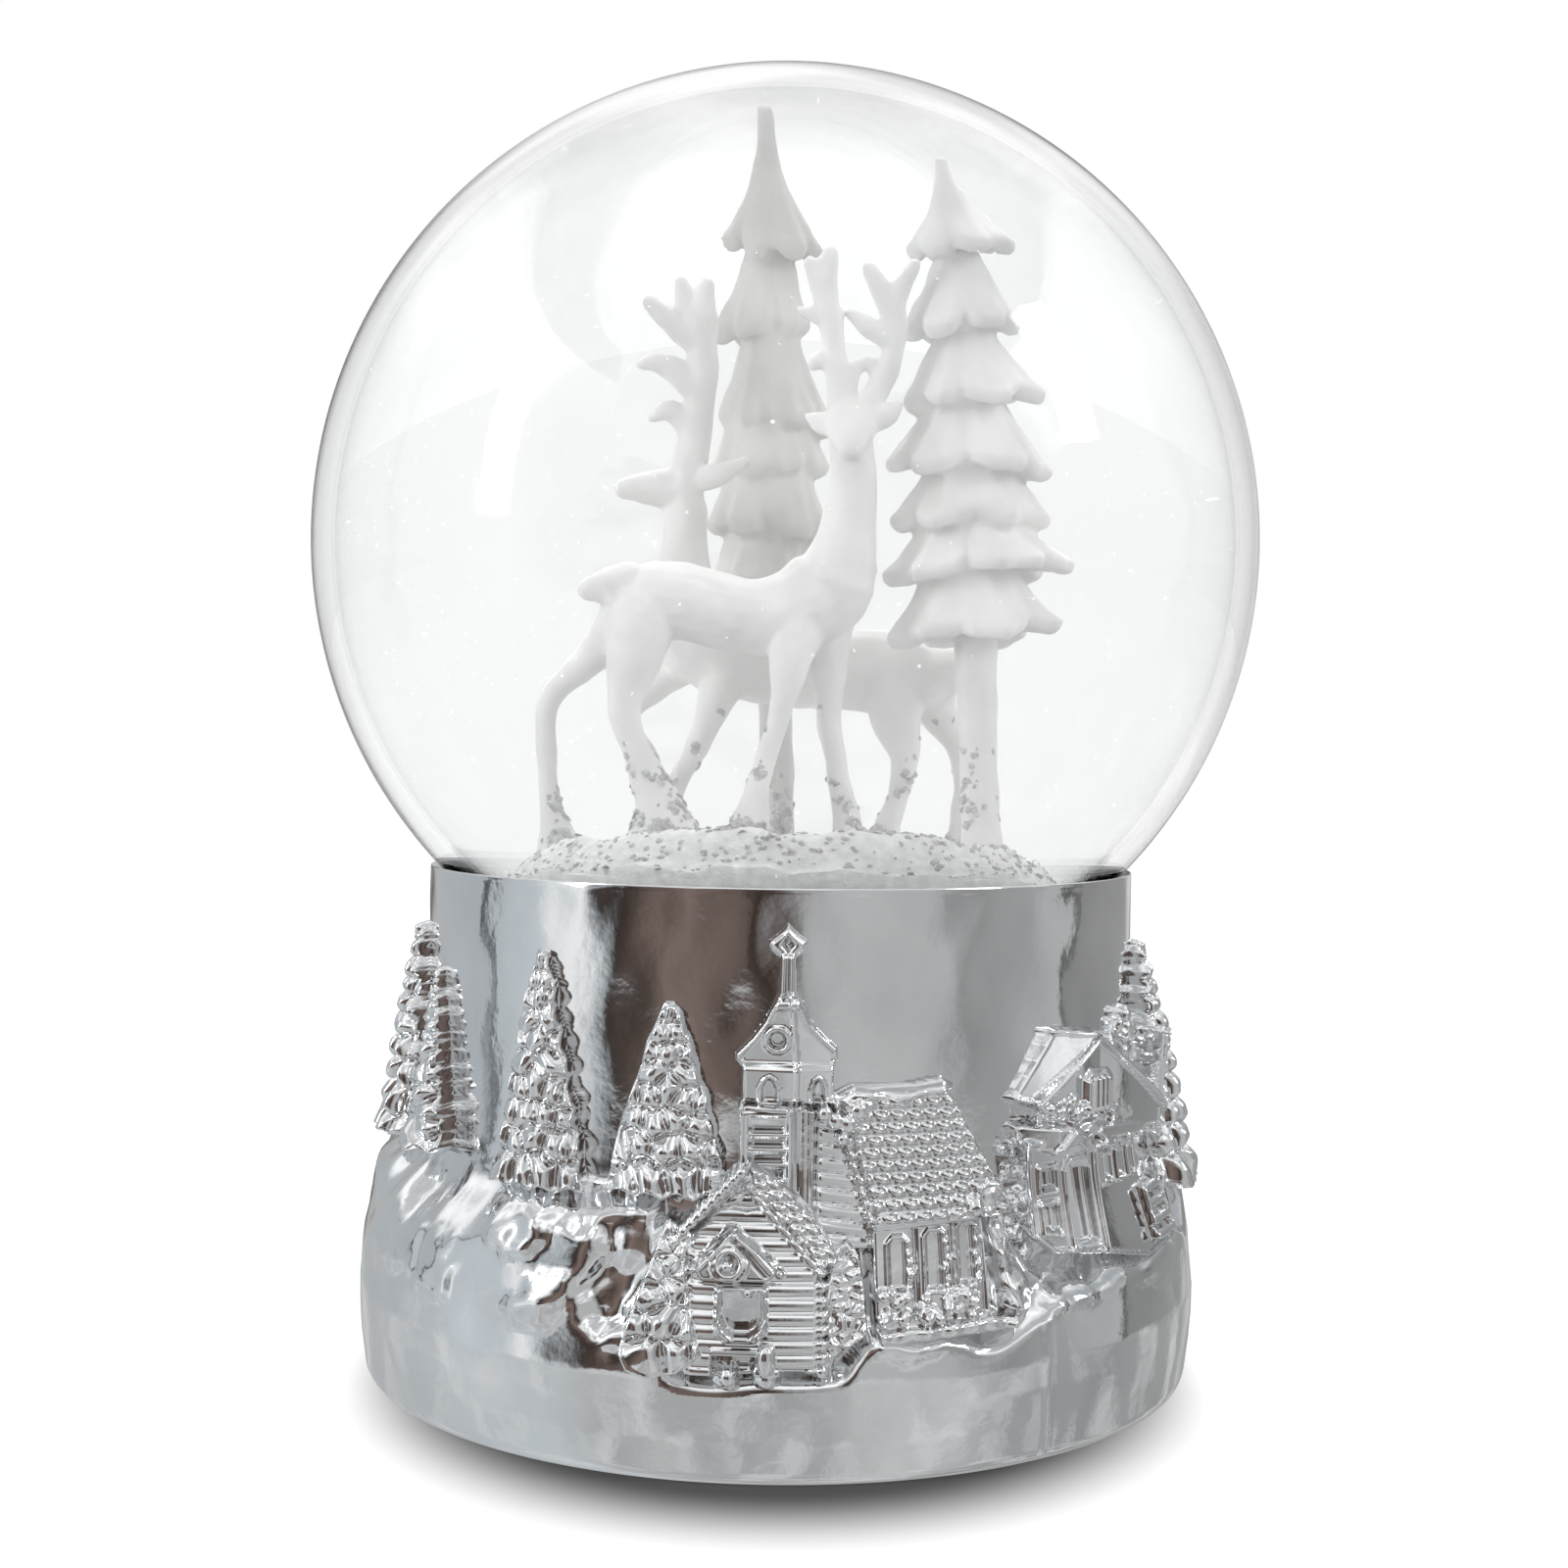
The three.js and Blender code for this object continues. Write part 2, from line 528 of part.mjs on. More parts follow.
// ---------------------------------------------------------------- cover and screws

const MOVEMENT_SCREWS = [[-21, -18], [23, -18], [3, 17]];
const SHANK = 1.1;
const SCREW_HEAD = 1.3;
const SCREW_HOLE = 1.6;
const ARBOR_HOLE = 3; // in the cover, wide enough to lift the cover off over the arbor

function bottomCover() {
  const plate = lathe([
    [0, COVER_BOTTOM], [COVER_RADIUS - 0.6, COVER_BOTTOM], [COVER_RADIUS, COVER_BOTTOM + 0.6],
    [COVER_RADIUS, COVER_TOP], [0, COVER_TOP],
  ]);
  const through = (radius, x, y) => disc(radius, COVER_BOTTOM - 1, COVER_TOP + 1, x, y);
  const edgeScrews = COVER_SCREW_ANGLES.map((angle) => onCircle(COVER_SCREW_RADIUS, angle));
  const screwHoles = [...edgeScrews, ...MOVEMENT_SCREWS].map(([x, y]) => through(SCREW_HOLE, x, y));
  return cut(plate, [...screwHoles, through(ARBOR_HOLE, KEY_X, 0)]);
}

// A slotted pan-head screw, pointing up from its head at z = bottom
function screwUp(x, y, bottom, top, head = 2.5) {
  const body = lathe([
    [0, bottom], [head * 0.72, bottom], [head, bottom + 0.7], [head, bottom + SCREW_HEAD],
    [SHANK, bottom + SCREW_HEAD], [SHANK, top - 0.6], [0.4, top], [0, top],
  ], SMALL_ROUND, x, y);
  return body.subtract(block([x - 2 * head, y - 0.3, bottom - 1], [x + 2 * head, y + 0.3, bottom + 0.6]));
}

// The same screw pointing down, with the top of its head at z = top
function screwDown(x, y, bottom, top, head = 2.1) {
  return screwUp(x, y, -top, -bottom, head).rotate([180, 0, 0]).translate([0, 2 * y, 0]);
}

// ---------------------------------------------------------------- gears

// The outline of a toothed wheel. Thickness is the share of the tooth pitch that a tooth fills.
function toothed(teeth, root, tip, { rootFill = 0.6, tipFill = 0.24, phase = 0 } = {}) {
  const outline = [];
  const pitch = (FULL_TURN) / teeth;
  for (let i = 0; i < teeth; i += 1) {
    const middle = phase + i * pitch;
    const corners = [[root, -rootFill], [tip, -tipFill], [tip, tipFill], [root, rootFill]];
    corners.forEach(([radius, fill]) => {
      const angle = middle + (fill * pitch) / 2;
      outline.push([radius * Math.cos(angle), radius * Math.sin(angle)]);
    });
  }
  return outline;
}

// Moves a wheel that was made around +Z so that it turns about +X, with its +X side towards +Y
function ontoShaft(geometry, x, y) {
  return geometry.rotateZ(QUARTER_TURN).rotateY(QUARTER_TURN).translate(x, y, AXIS_Z);
}

const BORE_GAP = 0.3;
const SHAFT_RADIUS = 1;
const FINE_ADDENDUM = 0.5;
const FINE_DEDENDUM = 0.72;
const WORM_ADDENDUM = 0.4;
const WORM_DEDENDUM = 0.62;

function gearOnShaft(outline, x, width, y) {
  const wheel = solid(ontoShaft(prism(outline, 0, width), x, y));
  return wheel.subtract(bar(SHAFT_RADIUS + BORE_GAP, x - 1, x + width + 1, y, AXIS_Z));
}

const CROWN_ADDENDUM = 0.7;
const CROWN_DEDENDUM = 0.95;
const CROWN_PITCH_Z = AXIS_Z - pitchRadius(CROWN_PINION_TEETH, CROWN_MODULE);
const CROWN_FACE = 2.2; // radial length of the crown wheel's teeth

const GREAT_WHEEL_BOTTOM = 14.7;

// The great wheel: a disc with upright teeth around its edge, driven by the mainspring
function greatWheel() {
  const rim = CROWN_RADIUS + CROWN_FACE / 2;
  const root = CROWN_PITCH_Z - CROWN_DEDENDUM;
  const plate = disc(rim, GREAT_WHEEL_BOTTOM, root, KEY_X, 0, CROWN_TEETH);
  const pitch = (FULL_TURN * CROWN_RADIUS) / CROWN_TEETH;
  const top = CROWN_PITCH_Z + CROWN_ADDENDUM;
  const outline = [
    [-0.3 * pitch, root - 0.3], [0.3 * pitch, root - 0.3], [0.12 * pitch, top], [-0.12 * pitch, top],
  ];
  const teeth = [];
  for (let i = 0; i < CROWN_TEETH; i += 1) {
    const tooth = prism(outline, CROWN_RADIUS - CROWN_FACE / 2, rim);
    tooth.rotateX(QUARTER_TURN).rotateZ(QUARTER_TURN + ((i + 0.5) * FULL_TURN) / CROWN_TEETH);
    teeth.push(solid(tooth.translate(KEY_X, 0, 0)));
  }
  const bore = disc(ARBOR_RADIUS + BORE_GAP, GREAT_WHEEL_BOTTOM - 1, root + 1, KEY_X, 0);
  return unite([plate, ...teeth]).subtract(bore);
}

// ---------------------------------------------------------------- movement: moving pieces

const ARBOR_BOTTOM = 4;
const ARBOR_TOP = 30.5;

function windingArbor() {
  const chamfer = 0.5;
  return lathe([
    [0, ARBOR_BOTTOM], [ARBOR_RADIUS, ARBOR_BOTTOM], [ARBOR_RADIUS, ARBOR_TOP - chamfer],
    [ARBOR_RADIUS - chamfer, ARBOR_TOP], [0, ARBOR_TOP],
  ], SMALL_ROUND, KEY_X, 0);
}

const KEY_BOTTOM = 1.6;
const KEY_TOP = 9;

function windingKey() {
  const hub = lathe([
    [0, KEY_BOTTOM + 1], [2.4, KEY_BOTTOM + 1], [3, KEY_BOTTOM + 1.6], [3, KEY_TOP - 0.6], [2.6, KEY_TOP],
    [0, KEY_TOP],
  ], 12);
  const wing = new THREE.Shape();
  const [eyeX, middle] = [7.6, KEY_BOTTOM + 3.3];
  const [outer, inner] = [middle - KEY_BOTTOM, 1.5];
  wing.moveTo(2, middle - 1.6);
  wing.quadraticCurveTo(5, middle - outer, eyeX, middle - outer);
  wing.absarc(eyeX, middle, outer, -QUARTER_TURN, QUARTER_TURN, false);
  wing.quadraticCurveTo(5, middle + outer, 2, middle + 1.6);
  const eye = new THREE.Path();
  eye.absarc(eyeX, middle, inner, 0, FULL_TURN, true);
  wing.holes.push(eye);
  const depth = 1.4;
  const extruded = new THREE.ExtrudeGeometry(wing, { depth, bevelEnabled: false, curveSegments: 5 });
  const right = solid(extruded.rotateX(QUARTER_TURN).translate(0, depth / 2, 0));
  const left = right.rotate([0, 0, 180]);
  const bore = disc(ARBOR_RADIUS + BORE_GAP, ARBOR_BOTTOM - BORE_GAP, KEY_TOP + 1);
  return unite([hub, right, left]).subtract(bore).translate([KEY_X, 0, 0]);
}

function crownPinion() {
  const radius = pitchRadius(CROWN_PINION_TEETH, CROWN_MODULE);
  const outline = toothed(CROWN_PINION_TEETH, radius - CROWN_DEDENDUM, radius + CROWN_ADDENDUM,
    { rootFill: 0.58, tipFill: 0.2, phase: -QUARTER_TURN });
  return gearOnShaft(outline, KEY_X + CROWN_RADIUS - CROWN_FACE / 2, CROWN_FACE, 0);
}

// The drum with the pins that pluck the comb, set out by a fixed rule
function pinCylinder() {
  const wall = 1.2;
  const tube = bar(DRUM_RADIUS, DRUM_START, DRUM_END, 0, AXIS_Z, 18);
  const pocket = bar(DRUM_RADIUS - wall, DRUM_START + wall, DRUM_END + 1, 0, AXIS_Z);
  const hole = bar(SHAFT_RADIUS + BORE_GAP, DRUM_START - 1, DRUM_END + 1, 0, AXIS_Z);
  const pinsPerNote = 2;
  const goldenTurn = 137.5;
  const side = 0.16;
  const pins = [];
  for (let i = 0; i < NOTES * pinsPerNote; i += 1) {
    const x = DRUM_START + 0.3 + NOTE_PITCH * ((i % NOTES) + 0.5);
    const pin = block([x - side, -side, DRUM_RADIUS - 0.5], [x + side, side, DRUM_RADIUS + PIN_HEIGHT]);
    pins.push(pin.rotate([i * goldenTurn, 0, 0]).translate([0, 0, AXIS_Z]));
  }
  return unite([cut(tube, [pocket, hole]), ...pins]);
}

function cylinderGear() {
  const radius = pitchRadius(CYLINDER_TEETH, FINE_MODULE);
  const outline = toothed(CYLINDER_TEETH, radius - FINE_DEDENDUM, radius + FINE_ADDENDUM);
  return gearOnShaft(outline, CYLINDER_GEAR_X, FINE_GEAR_WIDTH, 0);
}

function intermediatePinion() {
  const radius = pitchRadius(WHEEL_PINION_TEETH, FINE_MODULE);
  const phase = Math.PI / WHEEL_PINION_TEETH + Math.PI;
  const outline = toothed(WHEEL_PINION_TEETH, radius - FINE_DEDENDUM, radius + FINE_ADDENDUM,
    { rootFill: 0.58, tipFill: 0.2, phase });
  return gearOnShaft(outline, CYLINDER_GEAR_X, FINE_GEAR_WIDTH, WHEEL_Y);
}

const WORM_LEAD = WORM_STARTS * Math.PI * FINE_MODULE;
const WORM_SLOPE = WORM_LEAD / (FULL_TURN * WORM_PITCH_RADIUS);
const WORM_TIP = WORM_PITCH_RADIUS + WORM_ADDENDUM;
const WORM_ROOT = WORM_PITCH_RADIUS - WORM_DEDENDUM;

function wormWheel() {
  const radius = pitchRadius(WORM_WHEEL_TEETH, FINE_MODULE);
  const outline = toothed(WORM_WHEEL_TEETH, radius - WORM_DEDENDUM, radius + WORM_ADDENDUM,
    { rootFill: 0.52, tipFill: 0.22 });
  const blank = prism(outline, 0, WORM_WHEEL_WIDTH, 2);
  twist(blank, WORM_SLOPE / radius, WORM_WHEEL_WIDTH / 2);
  const wheel = solid(ontoShaft(blank, WORM_WHEEL_X, WHEEL_Y));
  const bore = bar(SHAFT_RADIUS + BORE_GAP, WORM_WHEEL_X - 1, OUTER_BEARING_X, WHEEL_Y, AXIS_Z);
  return wheel.subtract(bore);
}

function shaft(start, y) {
  return bar(SHAFT_RADIUS, start, OUTER_BEARING_X + BEARING_WIDTH + 0.4, y, AXIS_Z);
}

const WORM_BOTTOM = 18;
const WORM_HEIGHT = 8;
const GOVERNOR_PIVOT = 0.7;
const SPINDLE_BOTTOM = 14.8;
const SPINDLE_TOP = 32;
const FAN_BOTTOM = 26.6;
const FAN_TOP = 30.8;

// The worm's cross-section has one lobe per start, and turns with height
function governorWorm() {
  const phase = -QUARTER_TURN + Math.PI / WORM_STARTS;
  const outline = toothed(WORM_STARTS, WORM_ROOT, WORM_TIP, { rootFill: 0.56, tipFill: 0.24, phase });
  const rounded = outline.flatMap((point, i) => {
    const next = outline[(i + 1) % outline.length];
    const onRoot = i % 4 === 3;
    if (!onRoot) return [point];
    const start = Math.atan2(point[1], point[0]);
    const span = (Math.atan2(next[1], next[0]) - start + FULL_TURN) % (FULL_TURN);
    const fill = [1, 2].map((k) => start + (span * k) / 3);
    return [point, ...fill.map((angle) => [WORM_ROOT * Math.cos(angle), WORM_ROOT * Math.sin(angle)])];
  });
  const thread = prism(rounded, WORM_BOTTOM, WORM_BOTTOM + WORM_HEIGHT, 24);
  twist(thread, (FULL_TURN) / WORM_LEAD, AXIS_Z);
  const spindle = disc(GOVERNOR_PIVOT, SPINDLE_BOTTOM, SPINDLE_TOP, 0, 0, 12);
  return solid(thread).add(spindle).translate([GOVERNOR_X, GOVERNOR_Y, 0]);
}

function governorFan() {
  const hub = disc(1.7, FAN_BOTTOM, FAN_TOP, 0, 0, 12);
  const vanes = block([-4.3, -0.3, FAN_BOTTOM + 0.7], [4.3, 0.3, FAN_TOP - 0.2]);
  const bore = disc(GOVERNOR_PIVOT + BORE_GAP, FAN_BOTTOM - 1, FAN_TOP + 1, 0, 0, 12);
  return unite([hub, vanes]).subtract(bore).translate([GOVERNOR_X, GOVERNOR_Y, 0]);
}

// ---------------------------------------------------------------- movement: fixed pieces

const HOUSING_RADIUS = 10.3;
const HOUSING_BOTTOM = 18.4;
const HOUSING_TOP = 29.6;
const HOUSING_WALL = 1.1;
const ARM_THICKNESS = 1.3;
const PILLARS = [110, 250].map((degrees) => {
  const [x, y] = onCircle(16.5, degrees);
  return [KEY_X + x, y];
});
const COMB_SCREWS = [[DRUM_START + 3.4, -17.5], [DRUM_END - 3.4, -17.5]];
const GOVERNOR_SCREW = [GOVERNOR_X - 13, GOVERNOR_Y];
const COMB_BOTTOM = 21.4;
const COMB_TOP = 22.2;
const COMB_BACK = -21;
const BRACKET_TOP = 32.3;
const BRACKET_THICKNESS = 1;
const SHORT_SCREW_BOTTOM = 13.4;
const COMB_SCREW_BOTTOM = 15;

function movementBedplate() {
  const plate = block([-24, -22, BEDPLATE_BOTTOM], [27, 20.5, BEDPLATE_TOP]);
  const start = BEDPLATE_TOP - 0.5;
  const half = 2.6;
  const upright = (x, low, high) => block([x, low, start], [x + BEARING_WIDTH, high, AXIS_Z + half]);
  const bearings = [
    upright(INNER_BEARING_X, -half, half),
    upright(MIDDLE_BEARING_X, WHEEL_Y - 1.9, WHEEL_Y + half),
    upright(OUTER_BEARING_X, -half, WHEEL_Y + half),
  ];
  const pillars = PILLARS.map(([x, y]) => disc(2.4, start, HOUSING_BOTTOM - GAP, x, y));
  const combRest = block([DRUM_START, COMB_BACK, start], [DRUM_END, -14, COMB_BOTTOM - GAP]);
  const step = disc(2, start, 16.6, GOVERNOR_X, GOVERNOR_Y);
  const through = (radius, x, y) => disc(radius, BEDPLATE_BOTTOM - 1, HOUSING_TOP, x, y);
  const shaftEnd = OUTER_BEARING_X + BEARING_WIDTH + 1;
  const tools = [
    bar(SHAFT_RADIUS + BORE_GAP, INNER_BEARING_X - 1, shaftEnd, 0, AXIS_Z),
    bar(SHAFT_RADIUS + BORE_GAP, MIDDLE_BEARING_X - 1, shaftEnd, WHEEL_Y, AXIS_Z),
    through(ARBOR_RADIUS + BORE_GAP, KEY_X, 0),
    through(GOVERNOR_PIVOT + BORE_GAP, GOVERNOR_X, GOVERNOR_Y),
    ...[...MOVEMENT_SCREWS, ...PILLARS, ...COMB_SCREWS, GOVERNOR_SCREW].map(([x, y]) =>
      through(SHANK + BORE_GAP, x, y)),
  ];
  return cut(unite([plate, ...bearings, ...pillars, combRest, step]), tools);
}

// The cap over the mainspring, held on the bedplate's pillars by two arms
function springHousing() {
  const cup = lathe([
    [HOUSING_RADIUS - HOUSING_WALL, HOUSING_BOTTOM], [HOUSING_RADIUS, HOUSING_BOTTOM],
    [HOUSING_RADIUS, HOUSING_TOP - 0.8], [HOUSING_RADIUS - 0.8, HOUSING_TOP],
    [ARBOR_RADIUS + BORE_GAP, HOUSING_TOP], [ARBOR_RADIUS + BORE_GAP, HOUSING_TOP - HOUSING_WALL],
    [HOUSING_RADIUS - HOUSING_WALL, HOUSING_TOP - HOUSING_WALL],
    [HOUSING_RADIUS - HOUSING_WALL, HOUSING_BOTTOM],
  ], 18, KEY_X, 0);
  const armTop = HOUSING_BOTTOM + ARM_THICKNESS;
  const ears = PILLARS.flatMap(([x, y]) => {
    const reach = Math.hypot(x - KEY_X, y);
    const arm = block([HOUSING_RADIUS - 0.6, -1.7, HOUSING_BOTTOM], [reach, 1.7, armTop]);
    const turned = arm.rotate([0, 0, THREE.MathUtils.radToDeg(Math.atan2(y, x - KEY_X))]);
    return [turned.translate([KEY_X, 0, 0]), disc(2.6, HOUSING_BOTTOM, armTop, x, y)];
  });
  const holes = PILLARS.map(([x, y]) => disc(SHANK + BORE_GAP, HOUSING_BOTTOM - 1, armTop + 1, x, y));
  return cut(unite([cup, ...ears]), holes);
}

// A flat strip wound as a spiral between the arbor and the housing
function mainspring() {
  const turns = 4;
  const inner = ARBOR_RADIUS + 0.7;
  const outer = HOUSING_RADIUS - HOUSING_WALL - 0.8;
  const thickness = 0.35;
  const steps = turns * 12;
  const side = (offset) => Array.from({ length: steps + 1 }, (_, i) => {
    const angle = (FULL_TURN * turns * i) / steps;
    const radius = inner + ((outer - inner) * i) / steps + offset;
    return [radius * Math.cos(angle), radius * Math.sin(angle)];
  });
  const outline = [...side(thickness), ...side(0).reverse()];
  const top = HOUSING_TOP - HOUSING_WALL - 0.7;
  return solid(prism(outline, HOUSING_BOTTOM + 0.4, top).translate(KEY_X, 0, 0));
}

// The steel comb: graded teeth that end just clear of the drum's pins
function musicComb() {
  const tips = -(DRUM_RADIUS + PIN_HEIGHT + 0.25);
  const start = DRUM_START + 0.3;
  const outline = [[start, COMB_BACK], [DRUM_END - 0.3, COMB_BACK]];
  const slit = 0.13;
  for (let i = NOTES - 1; i >= 0; i -= 1) {
    const left = start + i * NOTE_PITCH;
    const root = -13.6 + 3.2 * (i / NOTES);
    outline.push([left + NOTE_PITCH - slit, root], [left + NOTE_PITCH - slit, tips], [left + slit, tips],
      [left + slit, root]);
  }
  const holes = COMB_SCREWS.map(([x, y]) => disc(SHANK + BORE_GAP, COMB_BOTTOM - 1, COMB_TOP + 1, x, y));
  return cut(solid(prism(outline, COMB_BOTTOM, COMB_TOP)), holes);
}

// A folded strip that carries the governor's upper pivot
function governorBracket() {
  const [screwX, y] = GOVERNOR_SCREW;
  const half = 1.9;
  const postX = GOVERNOR_X - 8;
  const bottom = BEDPLATE_TOP + GAP;
  const top = BRACKET_TOP;
  const foot = block([screwX - 2.4, y - half, bottom], [postX, y + half, bottom + BRACKET_THICKNESS]);
  const post = block([postX - BRACKET_THICKNESS, y - half, bottom], [postX, y + half, top]);
  const arm = block([postX - 1, y - half, top - BRACKET_THICKNESS], [GOVERNOR_X + 2, y + half, top]);
  const holes = [
    disc(SHANK + BORE_GAP, bottom - 1, bottom + BRACKET_THICKNESS + 1, screwX, y),
    disc(GOVERNOR_PIVOT + BORE_GAP, top - BRACKET_THICKNESS - 1, top + 1, GOVERNOR_X, y),
  ];
  return cut(unite([foot, post, arm]), holes);
}

// ---------------------------------------------------------------- assembly

const snowGlobe = new THREE.Group();

function add(name, material, body) {
  const mesh = new THREE.Mesh(geometryOf(body), material);
  mesh.name = name;
  snowGlobe.add(mesh);
}

add('base_shell', CHROMED, baseShell());
add('glass_globe', GLASS, glassGlobe());
add('water_fill', WATER, waterFill());
add('neck_stopper', RUBBER, neckStopper());
add('snow_mound', WHITE_RESIN, snowMound());
add('front_stag', WHITE_RESIN, frontStag());
add('rear_stag', WHITE_RESIN, rearStag());
add('tall_tree', WHITE_RESIN, fir(TALL_TREE));
add('right_tree', WHITE_RESIN, fir(RIGHT_TREE));
add('bottom_cover', BLACK_PLASTIC, bottomCover());
const headOnCover = COVER_BOTTOM - GAP - SCREW_HEAD;
COVER_SCREW_ANGLES.forEach((angle, i) => {
  const [x, y] = onCircle(COVER_SCREW_RADIUS, angle);
  add(`cover_screw_${i + 1}`, STEEL, screwUp(x, y, headOnCover, COVER_SCREW_TOP));
});
MOVEMENT_SCREWS.forEach(([x, y], i) => {
  add(`movement_screw_${i + 1}`, STEEL, screwUp(x, y, headOnCover, BEDPLATE_TOP + 0.2));
});

add('movement_bedplate', ZINC, movementBedplate());
add('spring_housing', STEEL, springHousing());
const headOnArm = HOUSING_BOTTOM + ARM_THICKNESS + GAP + SCREW_HEAD;
PILLARS.forEach(([x, y], i) => {
  add(`housing_screw_${i + 1}`, STEEL, screwDown(x, y, SHORT_SCREW_BOTTOM, headOnArm));
});
add('mainspring', SPRING_STEEL, mainspring());
add('music_comb', STEEL, musicComb());
COMB_SCREWS.forEach(([x, y], i) => {
  add(`comb_screw_${i + 1}`, STEEL, screwDown(x, y, COMB_SCREW_BOTTOM, COMB_TOP + GAP + SCREW_HEAD));
});
add('governor_bracket', STEEL, governorBracket());
const headOnBracket = BEDPLATE_TOP + GAP + BRACKET_THICKNESS + GAP + SCREW_HEAD;
add('governor_screw', STEEL, screwDown(...GOVERNOR_SCREW, SHORT_SCREW_BOTTOM, headOnBracket));

add('winding_key', BRASS, windingKey());
add('winding_arbor', STEEL, windingArbor());
add('great_wheel', BRASS, greatWheel());
add('pin_cylinder', BRASS, pinCylinder());
add('crown_pinion', BRASS, crownPinion());
add('cylinder_gear', WHITE_PLASTIC, cylinderGear());
add('cylinder_shaft', STEEL, shaft(KEY_X + CROWN_RADIUS - CROWN_FACE / 2 - 0.2, 0));
add('intermediate_pinion', BRASS, intermediatePinion());
add('worm_wheel', WHITE_PLASTIC, wormWheel());
add('intermediate_shaft', STEEL, shaft(MIDDLE_BEARING_X - 0.4, WHEEL_Y));
add('governor_worm', WHITE_PLASTIC, governorWorm());
add('governor_fan', WHITE_PLASTIC, governorFan());

export default snowGlobe;
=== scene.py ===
"""The looks of a musical snow globe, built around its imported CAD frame.

Lengths are in millimetres and become metres when a mesh is made. The front faces -Y. Places on the base are
(u, v): u is the distance round the base from the middle of the front, towards +X, on a cylinder of radius
ARC, and v is the height above the floor.
"""

import json
import math

import bpy
import numpy as np
from mathutils import Matrix, Vector
from mathutils.bvhtree import BVHTree

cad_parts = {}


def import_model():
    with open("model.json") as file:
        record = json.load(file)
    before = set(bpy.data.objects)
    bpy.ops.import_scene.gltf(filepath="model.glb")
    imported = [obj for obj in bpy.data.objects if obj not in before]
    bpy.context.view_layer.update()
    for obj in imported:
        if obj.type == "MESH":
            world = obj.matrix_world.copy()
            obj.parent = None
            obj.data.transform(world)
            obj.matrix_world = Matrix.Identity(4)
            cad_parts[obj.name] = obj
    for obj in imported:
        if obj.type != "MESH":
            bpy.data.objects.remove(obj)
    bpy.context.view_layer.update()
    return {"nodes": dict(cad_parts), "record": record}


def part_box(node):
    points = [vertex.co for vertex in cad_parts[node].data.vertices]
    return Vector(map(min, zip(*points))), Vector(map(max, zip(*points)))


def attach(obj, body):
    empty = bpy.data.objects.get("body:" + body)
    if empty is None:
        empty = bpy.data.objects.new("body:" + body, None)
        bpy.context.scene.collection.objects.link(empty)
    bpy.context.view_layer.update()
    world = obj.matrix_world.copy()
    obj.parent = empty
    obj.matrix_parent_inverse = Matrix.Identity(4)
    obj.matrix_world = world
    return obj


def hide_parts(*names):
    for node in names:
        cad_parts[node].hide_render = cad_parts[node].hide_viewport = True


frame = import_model()

# ---------------------------------------------------------------- dimensions

MM = 0.001
ARC = 41.0
BODY = "globe_and_base"


def corner(node, high):
    """A CAD node's highest or lowest corner in millimetres."""
    return np.array(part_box(node)[1 if high else 0]) / MM


GLOBE_RADIUS = corner("glass_globe", True)[0]
GLOBE_Z = corner("glass_globe", True)[2] - GLOBE_RADIUS
NECK_RADIUS = 30.0
NECK_BOTTOM = corner("glass_globe", False)[2]
GLASS_WALL = 2.0
WATER_RADIUS = GLOBE_RADIUS - GLASS_WALL - 0.4
WATER_BOTTOM = corner("water_fill", False)[2]
MOUND_RADIUS = corner("snow_mound", True)[0]
MOUND_BOTTOM = corner("snow_mound", False)[2]
GROUND_Z = corner("snow_mound", True)[2] - 0.9

COLLAR_RADIUS = 37.45
LOWER_WALL_RADIUS = 41.4
PULL = 0.35  # how far the mould opens sideways for each step it opens to the front or the back
SUNK = 0.8  # how far a patch of relief dips into the wall round its outline

# ---------------------------------------------------------------- materials

NOISE_RANGE = (0.3, 0.7)  # nearly all of a noise lies between these

def node_tree(name):
    material = bpy.data.materials.new(name)
    material.use_nodes = True
    return material, material.node_tree.nodes, material.node_tree.links


def add(nodes, kind, **values):
    """Adds a shader node and sets its inputs. A socket's name has underscores for spaces."""
    made = nodes.new("ShaderNode" + kind)
    for socket, value in values.items():
        made.inputs[socket.replace("_", " ")].default_value = value
    return made


def noise(nodes, links, scale, detail=4.0):
    """A noise in the space of the row frame; scale is in features per metre."""
    texture = add(nodes, "TexNoise", Scale=scale, Detail=detail)
    links.new(add(nodes, "TexCoord").outputs["Object"], texture.inputs["Vector"])
    return texture.outputs["Fac"]


def ramp(nodes, links, source, stops):
    """A colour ramp; stops are (position, colour)."""
    made = add(nodes, "ValToRGB")
    elements = made.color_ramp.elements
    while len(elements) < len(stops):
        elements.new(0.5)
    for element, (position, colour) in zip(elements, stops):
        element.position = position
        element.color = (*colour, 1.0)
    links.new(source, made.inputs["Fac"])
    return made.outputs["Color"]


def map_range(nodes, links, source, start, end, low=0.0, high=1.0, curve="LINEAR"):
    """Maps start to end onto low to high, and holds there."""
    made = add(nodes, "MapRange", From_Min=start, From_Max=end, To_Min=low, To_Max=high)
    made.interpolation_type = curve
    links.new(source, made.inputs["Value"])
    return made.outputs["Result"]


def bumps(nodes, links, layers):
    """Bump nodes in a row. Each layer is (features per metre, strength, height in millimetres)."""
    normal = None
    for scale, strength, height in layers:
        made = add(nodes, "Bump", Strength=strength, Distance=height * MM)
        links.new(noise(nodes, links, scale), made.inputs["Height"])
        if normal is not None:
            links.new(normal, made.inputs["Normal"])
        normal = made.outputs["Normal"]
    return normal


